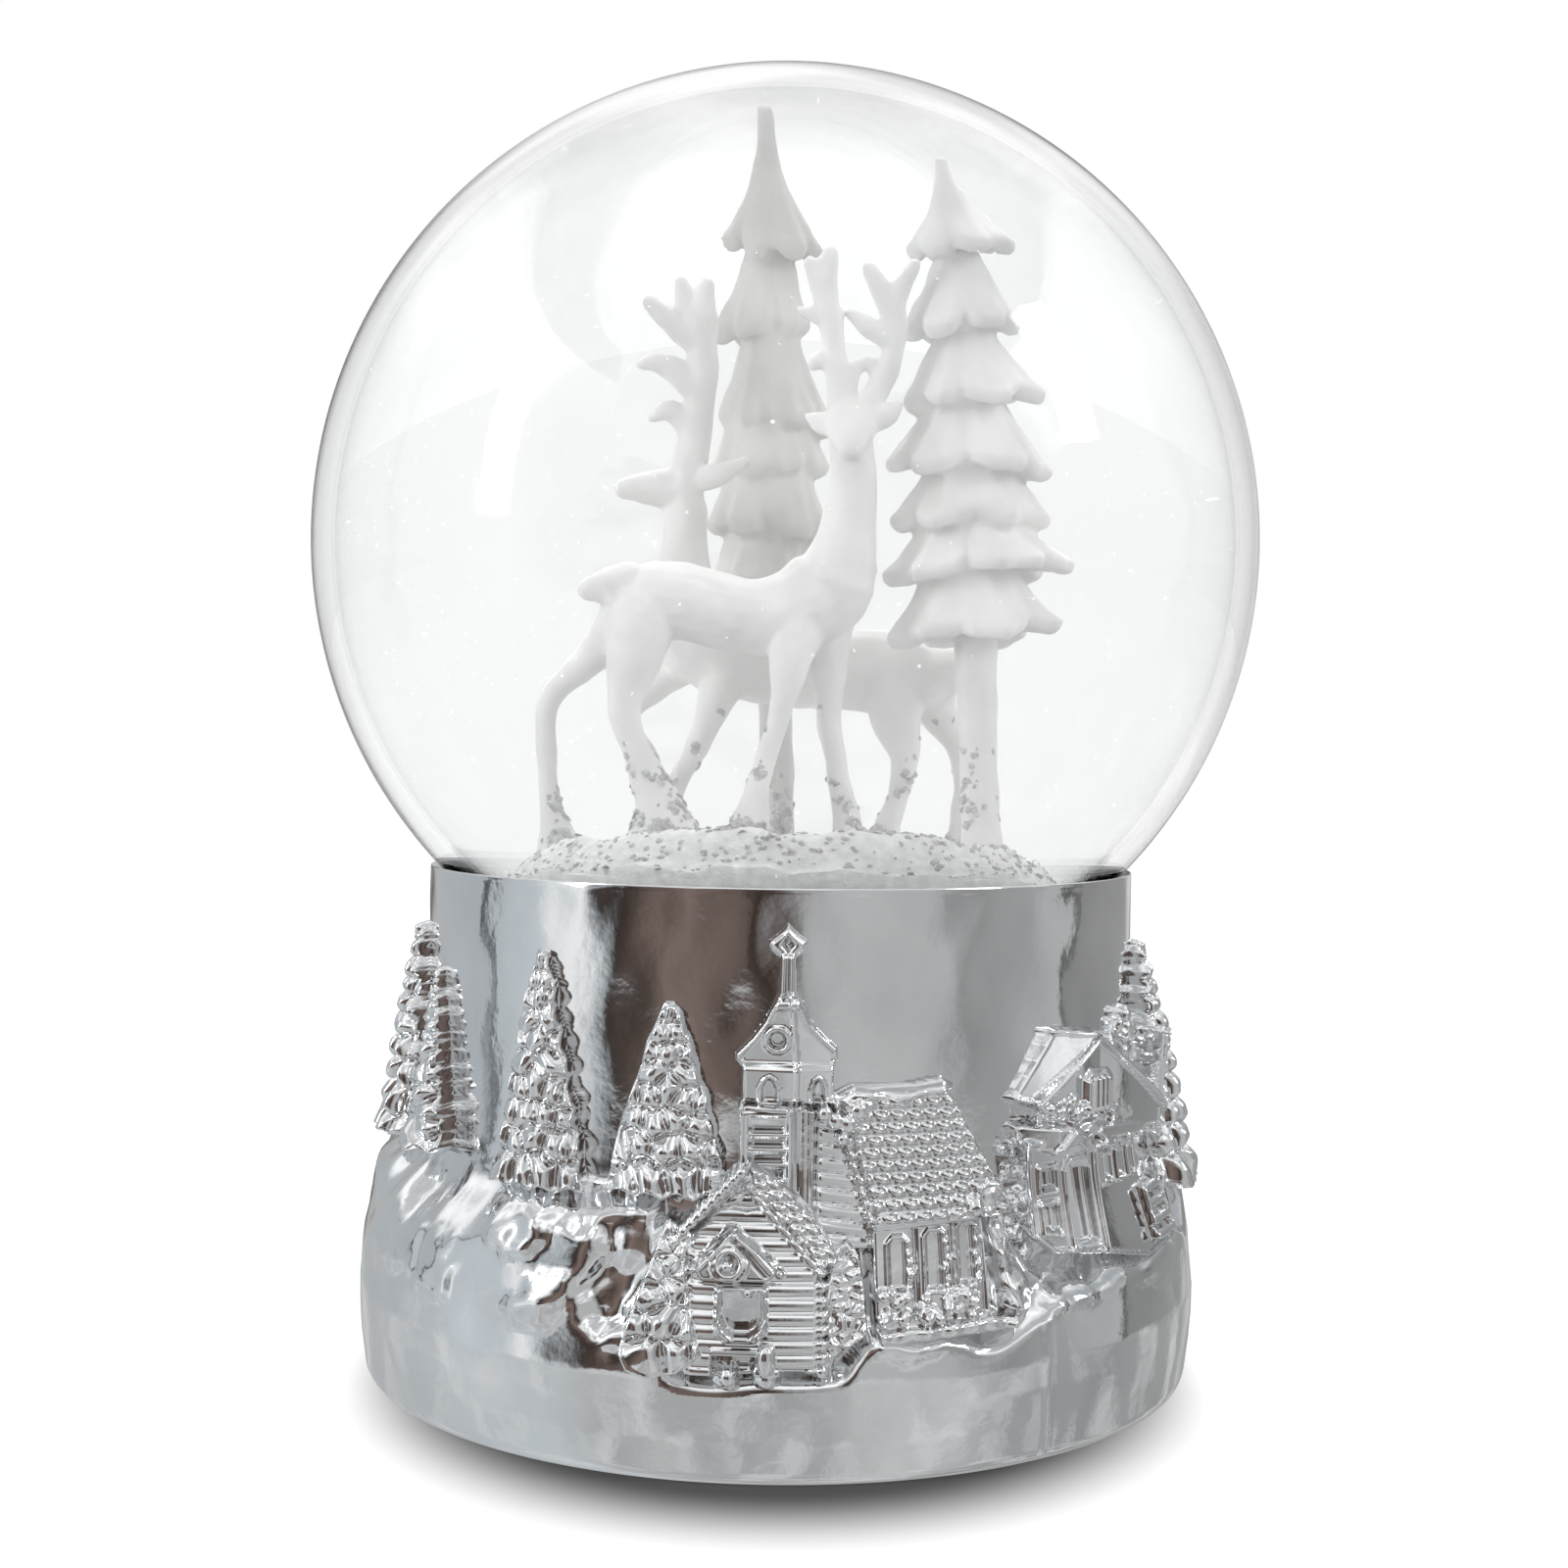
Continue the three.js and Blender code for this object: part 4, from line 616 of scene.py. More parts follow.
def church():
    """A church tower with a belfry and a spire, and its nave with a shingled roof."""
    patch = Relief((-5.2, 25.5), (11.5, 49.6), 0.15)
    u, v = patch.u, patch.v
    fold = np.abs(u - 1.75)  # the tower's front corner

    spire = [
        (0.1, 46.4), (0, 43), (-0.6, 41.6), (-1.2, 40.3), (-2.3, 38.8), (-3.9, 37.1), (-3.9, 36.6),
        (-3.3, 35.9), (5.2, 36), (5.6, 36.6), (5.5, 37.6), (4, 39), (2.9, 40.2), (2.2, 41.8), (1.6, 43),
        (1.5, 46.4),
    ]
    patch.plate(spire, 1.6 - 0.16 * fold + 0.08 * np.clip(v - 36, 0, 7))
    patch.frame(spire[2:-2], 0.5, 0.6)
    patch.ridge([(0.3, 46), (0.3, 42.8)], 0.36, 0.6)
    patch.ridge([(1.3, 46), (1.3, 42.8)], 0.36, 0.6)
    patch.ridge([(1.2, 42.6), (1.4, 39.6), (1.75, 36.2)], 0.24, 0.5)
    diamond = [
        (0.8, 48.9), (1.5, 48.2), (2.7, 47.3), (2.4, 46.4), (1.5, 45.7), (0.1, 45.7), (-0.8, 46.4),
        (-1.1, 47.3), (0.1, 48.2),
    ]
    patch.plate(diamond, 1.7, 0.6)
    patch.hollow([(0.8, 48), (1.5, 47), (0.8, 46.3), (0.1, 47)], 0.9, 0.5)
    patch.ring(-0.1, 38.5, 1.05, 0.3, 0.45)
    dial = [(-0.1 + 0.8 * math.cos(a), 38.5 + 0.8 * math.sin(a)) for a in np.linspace(0, 5.9, 14)]
    patch.hollow(dial, 0.7)

    belfry = [(-3.4, 32.8), (5.3, 32.8), (5.3, 36.3), (-3.4, 36.3)]
    patch.plate(belfry, 2 - 0.12 * fold + 0.09 * (v - 32.8))
    for x, half in ((-0.8, 0.8), (3.7, 0.6)):
        arch = [
            (x - half, 32.9), (x - half, 34.2), (x - 0.6 * half, 34.9), (x, 35.2), (x + 0.6 * half, 34.9),
            (x + half, 34.2), (x + half, 32.9),
        ]
        patch.frame(arch, 0.22, 0.35)
        patch.hollow(arch, 0.9, 0.25)
    patch.ridge([(1.75, 36.2), (1.75, 32.8)], 0.25, 0.3)

    patch.plate([(-3.6, 32.7), (-3.5, 22), (1.9, 22), (1.8, 32.7)], 1.5 + 0.08 * (v - 22))
    patch.frame([(-2.9, 32), (-2.9, 23.6), (1.1, 23.6), (1.1, 32)], 0.26, 0.35)
    for step in range(6):
        y = 31 - 1.35 * step
        patch.hollow([(-2.4, y), (0.6, y), (0.6, y - 0.62), (-2.4, y - 0.62)], 0.6, 0.25)
        patch.ridge([(-2.4, y - 0.9), (0.7, y - 0.9)], 0.2, 0.25)
    patch.plate([(1.8, 32.7), (1.9, 22), (3.5, 22), (3.6, 32.4)], 1.7)
    patch.boards([(3.5, 31.6), (5.1, 32.2), (8.6, 22.4), (8.6, 20), (3.4, 20)], 1.7, 1.3, 0.5, slant=-0.12)
    for x in (-3.35, 1.2, 1.85, 3.3):
        patch.ridge([(x, 32.6), (x, 22.5)], 0.26, 0.5)
    patch.ridge([(-3.6, 32.7), (1.8, 32.55), (3.7, 32.9), (5.4, 33)], 0.32, 0.75)

    wall = [(8.4, 23), (19.6, 23.4), (19.8, 14.2), (8.5, 13)]
    patch.plate(wall, 2.4 + 0.05 * (v - 14))
    for x0, x1, low, high in ((9.9, 11.7, 16.7, 21.2), (13.4, 15.2, 16.6, 21.7), (16.6, 18.3, 16.9, 22.2)):
        window = [
            (x0, low), (x0, high - 0.5), (x0 + 0.5, high), (x1 - 0.4, high), (x1, high - 0.4), (x1, low),
        ]
        patch.frame(window, 0.24, 0.4)
        patch.hollow(window, 0.6, 0.3)
        patch.ridge([(x1 + 0.85, 14.5), (x1 + 0.85, high + 0.6)], 0.22, -0.5)
        patch.scatter((x1 + 0.1, x1 + 0.6), (low, high), 11, (0.2, 0.34), (2.9, 3.3), int(10 * x0))
        patch.scatter((x0 - 0.6, x1 + 0.5), (14.4, low), 13, (0.3, 0.65), (2.9, 3.6), int(20 * x0))

    roof = [
        (4.9, 33.2), (6.6, 33.8), (16.3, 34), (16.9, 32.9), (22.4, 23.5), (22, 22.8), (8.7, 22.1),
        (8.2, 22.7),
    ]
    slope = 1.9 + 0.14 * (34 - v)
    patch.shingles(roof, slope, 1.1, 1.62, -0.45, 22.4)
    patch.plate([(7.9, 22.9), (8.7, 21.7), (22.2, 22.4), (22, 23)], 3.5, 0.3)
    patch.ridge([(5, 33.1), (8.3, 22.8)], 0.34, 0.5)
    patch.ridge([(5.8, 33.1), (9.1, 22.8)], 0.16, -0.6)
    patch.ridge([(16.9, 33), (22.3, 23.4)], 0.34, 0.45)
    cap = [
        (4.8, 33.4), (7, 34.4), (12, 34.3), (15.8, 34.8), (17, 34.2), (16.4, 33), (13.4, 32.9), (11, 32),
        (8.6, 32.7), (6.2, 31.6),
    ]
    patch.plate(cap, 2.7 + 0.3 * ripples(u, v, 3.2, 21), 1.1)
    snow_caps = [(5.3, 31.5, 0.8), (6.4, 31.2, 0.9), (7.4, 32.4, 0.9), (4.3, 32.2, 0.7), (5.9, 29.9, 0.6)]
    for x, y, radius in snow_caps:
        patch.lump(x, y, radius, 3.6)
    patch.lump(20.2, 24.4, 1.9, 4.1, 0.8)
    patch.lump(18.6, 23.4, 0.9, 4.1)
    patch.ring(20.2, 24, 1.5, 0.3, 0.3)
    heap = [(19.7, 22.4), (21.4, 22.8), (23, 19), (25, 15.4), (24.6, 13.6), (19.8, 13.8)]
    patch.plate(heap, 2.3 + 0.6 * ripples(u, v, 2.6, 31), 1.2)
    patch.scatter((22.2, 25), (19.4, 29.4), 12, (0.35, 0.7), (0.4, 0.9), 33)
    plinth = [(8.6, 13.8), (19.6, 14.6), (22.8, 14.4), (22.4, 12.6), (8.8, 12)]
    patch.plate(plinth, 3.4 + 0.3 * ripples(u, v, 2.4, 34), 0.8)
    return patch.build("relief_church")


def cabin():
    """A log cabin with a shingled roof, a porch, a fir on its left and a bush on its right."""
    patch = Relief((-15.2, 9.8), (8.2, 29.2), 0.15)
    patch.boards([(-7.6, 9.6), (-7.6, 21.6), (-2.5, 27), (3.9, 20), (3.9, 9.8)], 3.1, 1.2, 0.55)
    patch.lump(-8.4, 20.6, 1.6, 3.8)
    for row in range(9):
        patch.lump(4, 10.4 + 1.2 * row, 0.55, 3.8)
        patch.lump(-7.4, 10.4 + 1.2 * row, 0.5, 3.7)
    roof = [(-2.5, 28), (0.3, 26.6), (3.4, 23.5), (6, 19.6), (3.9, 18.8), (1.9, 21.4), (-2.4, 25.8)]
    patch.shingles(roof, 3.9, 0.95, 1.25, -0.9, 19)
    patch.ridge([(-2.5, 25.9), (3.9, 18.8)], 0.34, 0.75)
    rake = [(-2.4, 28.1), (-5.6, 25.2), (-9, 21.7), (-8.4, 20.9), (-5, 23.8), (-2.4, 26.4)]
    patch.plate(rake, 4.3)
    for k in range(9):
        share = (k + 0.5) / 9
        patch.lump(-2.8 - 5.6 * share, 27.4 - 5.6 * share, 0.55, 4.85)
    patch.hollow([(-4, 24), (-2.5, 25.5), (-1.2, 24), (-2.5, 23.6)], 0.25)

    porch = [(-3.9, 22.5), (-7.2, 19), (-6.5, 17.9), (-0.6, 17.9), (0.4, 18.8), (-1.4, 20.9)]
    patch.plate(porch, 4.6)
    patch.ridge([(-7.1, 18.9), (-3.9, 22.3), (-0.8, 19.9), (0.4, 18.7)], 0.36, 0.5)
    patch.ridge([(-3.6, 21.6), (-0.6, 18.6)], 0.22, -0.5)
    for radius, height in ((1.5, 0.35), (1.05, 0.45), (0.55, -0.5)):
        patch.ring(-4, 19.6, radius, 0.26, height)
    patch.lump(-4.2, 19.5, 0.42, 5.3)

    door = [
        (-4.7, 17.5), (-4.8, 15), (-4.4, 14), (-3.6, 13.4), (-2.2, 13.4), (-1.3, 14), (-0.9, 15),
        (-1, 17.5),
    ]
    doorway = [(-5.4, 17.8), (-5.4, 13.8), (-4.2, 12.7), (-1.6, 12.7), (-0.4, 13.8), (-0.4, 17.8)]
    patch.plate(doorway, 3.9, 0.4)
    lean = 0.4 * (patch.v - 15.5) - 0.05 * (patch.u + 3)
    patch.hollow(door, 0.8 - lean, 0.3)
    patch.frame(door, 0.22, 0.5)
    patch.lump(-2.3, 17.2, 0.45, 4.4)
    patch.plate([(-5.6, 12.6), (-0.4, 12.6), (-0.4, 12), (-5.6, 12)], 4.2, 0.3)
    patch.hollow([(-5.4, 11.8), (-1.6, 11.8), (-1.6, 9.8), (-5.4, 9.8)], 1.6, 0.6)
    patch.hollow([(0.4, 10.6), (3.6, 10.4), (3.6, 9.2), (0.4, 9.2)], 1.4, 0.6)
    patch.lump(-0.7, 11.6, 0.75, 4.7, 1.8)
    patch.scatter((-5.8, -0.2), (9.4, 10.4), 9, (0.5, 0.9), (3, 4), 41)

    fir_outline = [
        (-9.9, 23.1), (-8.5, 22.7), (-7.6, 19.6), (-6.9, 15), (-6, 11.6), (-8, 9.9), (-10.6, 9.2),
        (-12.9, 9.9), (-13.8, 11.6), (-12.6, 15.6), (-11.3, 19.2),
    ]
    rng = np.random.default_rng(42)
    inside = distance_inside(patch.u, patch.v, fir_outline)
    body = 3.2 + 0.5 * rounded(inside / 3)
    seeds = bough_seeds(rng, -9.4, 9.6, 23, lambda share: 0.4 + 3.1 * share, -0.5)
    patch.boughs(inside, body, seeds)
    bush = [(4.6, 20.6), (6.4, 21.4), (7.6, 20), (8, 17), (8.2, 13.4), (6.4, 12), (4.4, 12.4), (4, 15)]
    rng = np.random.default_rng(43)
    seeds = [(rng.uniform(3.8, 8.2), rng.uniform(12, 21.4), rng.uniform(0.55, 0.95)) for _ in range(34)]
    patch.boughs(distance_inside(patch.u, patch.v, bush), 2.9, seeds)
    patch.scatter((4.3, 5.4), (10.6, 13), 6, (0.5, 0.8), (2.6, 3.4), 44)
    return patch.build("relief_cabin")


def house():
    """A gabled house with a porch, steps and a chimney."""
    patch = Relief((21.8, 58.6), (12.6, 40), 0.17)
    walls = [(24.8, 28.6), (25, 19.8), (27.2, 18.2), (34, 17.2), (42, 15.6), (50.6, 16), (50.6, 28.4)]
    border = [(25, 28.2), (25.2, 20), (27.6, 18.4), (34, 17.4), (42, 15.8), (50, 16.2), (50.4, 28.2)]
    patch.plate(walls, 2.4, 0.5)
    patch.frame(border, 0.36, 0.5)
    gable = [(35.6, 38), (26, 32), (26.4, 28), (50.4, 27), (50.6, 29.4), (42, 34.2)]
    patch.plate(gable, 2.3 + 0.15 * np.clip(patch.u - 36, 0, 12), 0.5)
    turned_front = 0.4 + 0.45 * (patch.u - 23.8 - 0.85 * (patch.v - 32))
    patch.plate([(29.4, 38.4), (35.8, 37.9), (25.8, 31.5), (23.8, 32)], np.clip(turned_front, 0.3, 3), 0.3)
    patch.ridge([(35.6, 37.4), (26.4, 31.7)], 0.5, 0.9)
    patch.ridge([(29.4, 38.1), (24, 32.1), (26, 31.8)], 0.35, 0.5)
    patch.ridge([(35.6, 37.4), (50.4, 28.9)], 0.45, 0.8)
    patch.ridge([(28.8, 38.2), (35.6, 37.8)], 0.3, 0.4)
    patch.scatter((27, 33.2), (29.9, 31.6), 18, (0.5, 0.9), (2.6, 3.5), 51)
    patch.scatter((37.8, 48), (28.6, 30.4), 24, (0.6, 1.1), (2.6, 3.5), 52)

    gable_window = [(33.2, 30.1), (33.2, 33.3), (34.2, 34), (36.8, 33.9), (37.7, 33.2), (37.7, 30)]
    patch.plate(gable_window, 3.1, 0.3)
    patch.frame(gable_window, 0.28, 0.35)
    for x in (34.1, 34.9, 35.7, 36.6):
        patch.ridge([(x, 30.6), (x, 33.4)], 0.2, 0.4)

    porch = [(23.8, 29.6), (24.8, 30), (30.6, 29.8), (33.2, 27.6), (28, 26.9), (24.6, 27.2)]
    patch.plate(porch, np.minimum(3.8, 0.8 + 0.6 * (patch.u - 23.6)), 0.6)
    patch.ridge([(28.4, 27.2), (31, 29.3), (34.4, 27)], 0.45, 0.7)
    patch.plate([(33.6, 28.2), (35, 29.4), (50.2, 28.4), (50.8, 26.8), (42, 26.6), (36, 26.9)], 3.6, 0.8)
    patch.scatter((35, 49.6), (26.7, 27.3), 20, (0.35, 0.6), (3.6, 4), 53)

    for outline in (
        [(26.4, 25.8), (28.6, 25.8), (28.6, 23.6), (26.4, 23.6)],
        [(26.4, 22.6), (28.6, 22.6), (28.6, 19.8), (26.4, 20.2)],
        [(30, 25.2), (30.8, 26.2), (32.8, 26.2), (33.6, 25.2), (33.6, 18.4), (30, 18.6)],
        [(36.2, 26), (37.6, 26), (37.6, 23.4), (36.2, 23.4)],
        [(38.8, 26), (40.2, 26), (40.2, 23.4), (38.8, 23.4)],
        [(41.4, 26), (42.8, 26), (42.8, 23.4), (41.4, 23.4)],
    ):
        patch.frame(outline, 0.32, 0.6)
        patch.hollow(outline, 0.7, 0.35)
    patch.ridge([(34.8, 26.6), (34.8, 17.8)], 0.34, 0.7)
    patch.plate([(42.4, 22.4), (48.6, 23), (49.4, 16.4), (43.2, 16.6)], 3.6, 0.8)
    for step in range(4):
        y = 21.4 - 1.45 * step
        patch.hollow([(43.4, y), (47.8, y + 0.2), (48.2, y - 0.6), (43.8, y - 0.8)], 1.3, 0.3)

    patch.plate([(50.4, 36.8), (54.6, 36.8), (54.8, 17.4), (50.2, 17.4)], 4.2 - 0.1 * (36 - patch.v), 0.7)
    patch.ridge([(50.9, 36.4), (54.4, 36.4)], 0.4, 0.5)
    patch.ridge([(50.9, 36), (50.9, 18)], 0.4, 0.5)
    patch.scatter((36, 50), (31, 38), 10, (0.5, 0.9), (0.4, 0.9), 54)
    patch.scatter((40, 50), (33, 38.4), 26, (0.7, 1.2), (0.6, 1.9), 55)
    patch.scatter((22.8, 25.4), (18, 28), 16, (0.35, 0.8), (0.3, 0.9), 56)
    return patch.build("relief_house")


def plain_house(name, degrees, width, foot, eaves, ridge, reach, seed):
    """One of the houses on the side that faces away: a gabled front with a door and two windows."""
    middle = math.radians(degrees) * ARC
    half = width / 2
    patch = Relief((middle - half - 2, middle + half + 2), (foot - 1.2, ridge + 1.2), 0.2)

    def at(points):
        return [(middle + x, y) for x, y in points]

    front = at([(-half, foot), (half, foot), (half, eaves), (0, ridge - 1), (-half, eaves)])
    patch.boards(front, reach, 1.3, 0.45)
    gable = at([(-half - 1, eaves - 0.8), (0, ridge), (half + 1, eaves - 0.8)])
    patch.ridge(gable, 0.9, 1.2)
    for k in range(9):
        share = (k + 0.5) / 9
        for side in (-1, 1):
            x, y = side * (half + 0.8) * share, ridge - (ridge - eaves + 0.6) * share
            patch.lump(middle + x, y, 0.6, reach + 1.4)
    doorway = [(-1.6, 0.4), (1.6, 0.4), (1.6, 5.4), (0, 6.4), (-1.6, 5.4)]
    door = [(-1, 0.6), (1, 0.6), (1, 5), (0, 5.7), (-1, 5)]
    patch.plate(at([(x, foot + y) for x, y in doorway]), reach + 0.9)
    patch.hollow(at([(x, foot + y) for x, y in door]), 0.9)
    for x in (-0.66 * half, 0.66 * half):
        left, right, sill, head = x - 0.9, x + 0.9, eaves - 3.6, eaves - 1.4
        window = at([(left, sill), (right, sill), (right, head), (left, head)])
        patch.frame(window, 0.3, 0.5)
        patch.hollow(window, 0.6)
    whole_width = (middle - half, middle + half)
    patch.scatter(whole_width, (foot - 0.6, foot + 0.8), 22, (0.6, 1), (1.6, reach), seed)
    return patch.build(name)


# Trees on the base: (degrees from the front, foot, tip, width at the foot, how far the foot stands out,
# how many times as wide as high its boughs are)
BASE_TREES = [
    (-76, 24.6, 46.2, 12, 5.2, 1.1), (-61, 24.6, 42.4, 9, 4.6, 3), (-34, 23.6, 45.6, 12, 3.5, 1.1),
    (-14.4, 24.2, 41.6, 12.8, 3.6, 1.1), (77, 20.4, 45.2, 13, 7.2, 1.1), (108, 23, 43.5, 12, 5.6, 1.2),
    (152, 22.6, 41, 11, 6.8, 1.2), (171, 22.6, 46.5, 13, 7.4, 1.2), (-165, 22.6, 42.5, 11, 6.8, 1.2),
    (-118, 22.6, 45.5, 12.4, 7.2, 1.2), (-97, 23, 40.5, 10, 6.8, 1.2),
]


def relief():
    for k, tree in enumerate(BASE_TREES):
        relief_tree(f"relief_tree_{k + 1}", *tree, 60 + k)
    church()
    cabin()
    house()
    plain_house("relief_back_house_1", 131, 11, 17, 26.5, 34, 3.4, 91)
    plain_house("relief_back_house_2", -141, 13, 16, 26, 34.5, 3.6, 92)


# ---------------------------------------------------------------- globe


def turned(name, profile, sides, material):
    """A closed piece turned from a profile that starts and ends on the axis, top first."""
    radii = np.array([r for r, _ in profile])[:, None]
    heights = np.array([z for _, z in profile])[:, None]
    angles = np.linspace(-math.pi, math.pi, sides, endpoint=False)[None, :]
    return ring_grid(name, radii * np.ones_like(angles), heights, angles, material)


def ball(radius, foot, steps):
    """Profile of a ball from just off its top down to where it has narrowed to foot."""
    angles = np.linspace(math.pi / 2 - 0.02, -math.acos(foot / radius), steps)
    return [(radius * math.cos(a), GLOBE_Z + radius * math.sin(a)) for a in angles]


def glass():
    """The glass shell with its open neck: two walls of one closed mesh."""
    sides, steps = 192, 120
    inner_foot = NECK_RADIUS - GLASS_WALL
    outside = ball(GLOBE_RADIUS, NECK_RADIUS, steps)
    inside = ball(GLOBE_RADIUS - GLASS_WALL, inner_foot, steps)
    lip = [
        (NECK_RADIUS, NECK_BOTTOM + 0.6), (NECK_RADIUS - 0.6, NECK_BOTTOM), (inner_foot + 0.6, NECK_BOTTOM),
        (inner_foot, NECK_BOTTOM + 0.6),
    ]
    shell = turned("glass_shell", outside + lip + inside[::-1], sides, GLASS)
    return on_body(shell, "clear_glass", "glass_globe")


def water():
    foot = math.sqrt(WATER_RADIUS**2 - (GLOBE_Z - WATER_BOTTOM) ** 2)
    body = turned("water_body", ball(WATER_RADIUS, foot, 120), 192, WATER)
    return on_body(body, "clear_water", "water_fill")


# ---------------------------------------------------------------- figures


def spline(stations, steps):
    """Points of a smooth curve through the stations, with all of their numbers interpolated."""
    s = np.array(stations, float)
    padded = np.vstack([2 * s[0] - s[1], s, 2 * s[-1] - s[-2]])
    made = []
    for k in range(len(s) - 1):
        p0, p1, p2, p3 = padded[k : k + 4]
        for t in np.arange(steps) / steps:
            made.append(
                0.5 * (2 * p1 + (p2 - p0) * t + (2 * p0 - 5 * p1 + 4 * p2 - p3) * t**2
                       + (3 * p1 - p0 - 3 * p2 + p3) * t**3)
            )
    return np.array([*made, s[-1]])


class Solid:
    """A moulded figure: overlapping closed shapes that are melted into one skin."""

    def __init__(self):
        self.points, self.faces, self.count = [], [], 0

    def add(self, points, faces):
        self.points.append(points)
        self.faces += [[k + self.count for k in face] for face in faces]
        self.count += len(points)

    def limb(self, stations, thick=1.0, sides=16):
        """A round limb through (x, y, z, radius) stations, thick times as deep as it is high."""
        curve = spline(stations, 6)
        centres, radii = curve[:, :3], np.maximum(curve[:, 3], 0.12)
        tangents = np.gradient(centres, axis=0)
        tangents /= np.linalg.norm(tangents, axis=1)[:, None]
        ends = [(-0.94, 0.34), (-0.64, 0.77)]
        centre, tangent, radius = centres[0], tangents[0], radii[0]
        rows = [(centre + tangent * radius * d, tangent, radius * s) for d, s in ends]
        rows += list(zip(centres, tangents, radii))
        centre, tangent, radius = centres[-1], tangents[-1], radii[-1]
        rows += [(centre - tangent * radius * d, tangent, radius * s) for d, s in ends[::-1]]
        angles = np.linspace(0, 2 * math.pi, sides, endpoint=False)
        points = []
        for centre, tangent, radius in rows:
            side = np.cross([0, 1, 0], tangent)
            if np.linalg.norm(side) < 0.2:
                side = np.cross([1, 0, 0], tangent)
            side /= np.linalg.norm(side)
            depth = np.cross(tangent, side)
            across = np.outer(np.cos(angles), side) + thick * np.outer(np.sin(angles), depth)
            points.append(centre + radius * across)
        faces = grid_faces(len(rows), sides, True)
        faces += [list(range(sides))[::-1], [(len(rows) - 1) * sides + k for k in range(sides)]]
        self.add(np.vstack(points), faces)

    def skirt(self, spine, y, tier, depth, seed):
        """One tier of a fir: a flared bell with six drooping lobes, round a spine of (height, x) points."""
        top, hem, waist, left, right, tilt = tier
        rng = np.random.default_rng(seed)
        sides, steps = 96, 14
        angles = np.linspace(0, 2 * math.pi, sides, endpoint=False)
        centres = np.arange(6) * math.pi / 3 + rng.uniform(-0.16, 0.16, 6) * [0, 1, 1, 0, 1, 1]
        away = np.abs((angles[:, None] - centres[None, :] + math.pi) % (2 * math.pi) - math.pi)
        lobe = np.cos(np.clip(away.min(axis=1) / 0.56, 0, 1) * math.pi / 2)
        length = rng.uniform(0.6, 1, 6) * [1, 1.1, 1.1, 1, 1.1, 1.1]
        droop = rng.uniform(0.4, 1.3, 6)[away.argmin(axis=1)] * lobe
        side = np.where(np.cos(angles) > 0, right, left)
        reach = side * (0.72 + 0.28 * np.clip(length[away.argmin(axis=1)] + 0.3, 0, 1) * lobe)
        fold = 1 + 0.05 * np.cos(13 * angles + rng.uniform(0, 6))
        outline = []
        for share in np.linspace(0, 1, steps):
            width = waist + (reach - waist) * share ** (2.3 if waist < 1 else 1.7)
            drop = top + (hem + tilt * np.cos(angles) - top) * share - droop * share**3
            outline.append((width * (1 + (fold - 1) * share), drop))
        width, drop = outline[-1]
        outline += [
            (width - 0.08, drop - 0.45), (width - 0.4, drop - 0.95), (width - 0.95, drop - 1.1),
            (width * 0.62, drop - 0.5), (width * 0.4, drop + 0.6),
        ]
        heights, middles = np.array(spine[::-1]).T
        points = []
        for w, d in outline:
            x = np.interp(np.mean(d), heights, middles) + w * np.cos(angles)
            points.append(np.stack([x, y + w * depth * np.sin(angles), d * np.ones(sides)], axis=-1))
        rows = len(points)
        faces = [face[::-1] for face in grid_faces(rows, sides, True)]
        faces += [list(range(sides)), [(rows - 1) * sides + k for k in range(sides)][::-1]]
        self.add(np.vstack(points), faces)

    def build(self, name, voxel, material=RESIN, relax=2):
        made = piece(name, np.vstack(self.points), self.faces, material)
        remesh = made.modifiers.new("skin", "REMESH")
        remesh.mode = "VOXEL"
        remesh.voxel_size = voxel * MM
        remesh.use_smooth_shade = True
        melt = made.modifiers.new("melt", "SMOOTH")
        melt.factor = 0.5
        melt.iterations = relax
        graph = bpy.context.evaluated_depsgraph_get()
        skin = bpy.data.meshes.new_from_object(made.evaluated_get(graph))
        made.modifiers.clear()
        made.data = skin
        places, normals = np.empty(len(skin.vertices) * 3), np.empty(len(skin.vertices) * 3)
        skin.vertices.foreach_get("co", places)
        skin.vertices.foreach_get("normal", normals)
        places, normals = places.reshape(-1, 3), normals.reshape(-1, 3)
        uneven = 0.07 * waves(*(places / MM).T, 3.4, 95) + 0.03 * waves(*(places / MM).T, 1.3, 96)
        skin.vertices.foreach_set("co", (places + normals * uneven[:, None] * MM).ravel())
        return made


def shifted(stations, y):
    """Stations of a limb given as (x, z, radius) or (x, z, radius, depth), placed at the depth y."""
    return [(s[0], y + (s[3] if len(s) > 3 else 0), s[1], s[2]) for s in stations]


FRONT_STAG = -4.2
REAR_STAG = 5.4


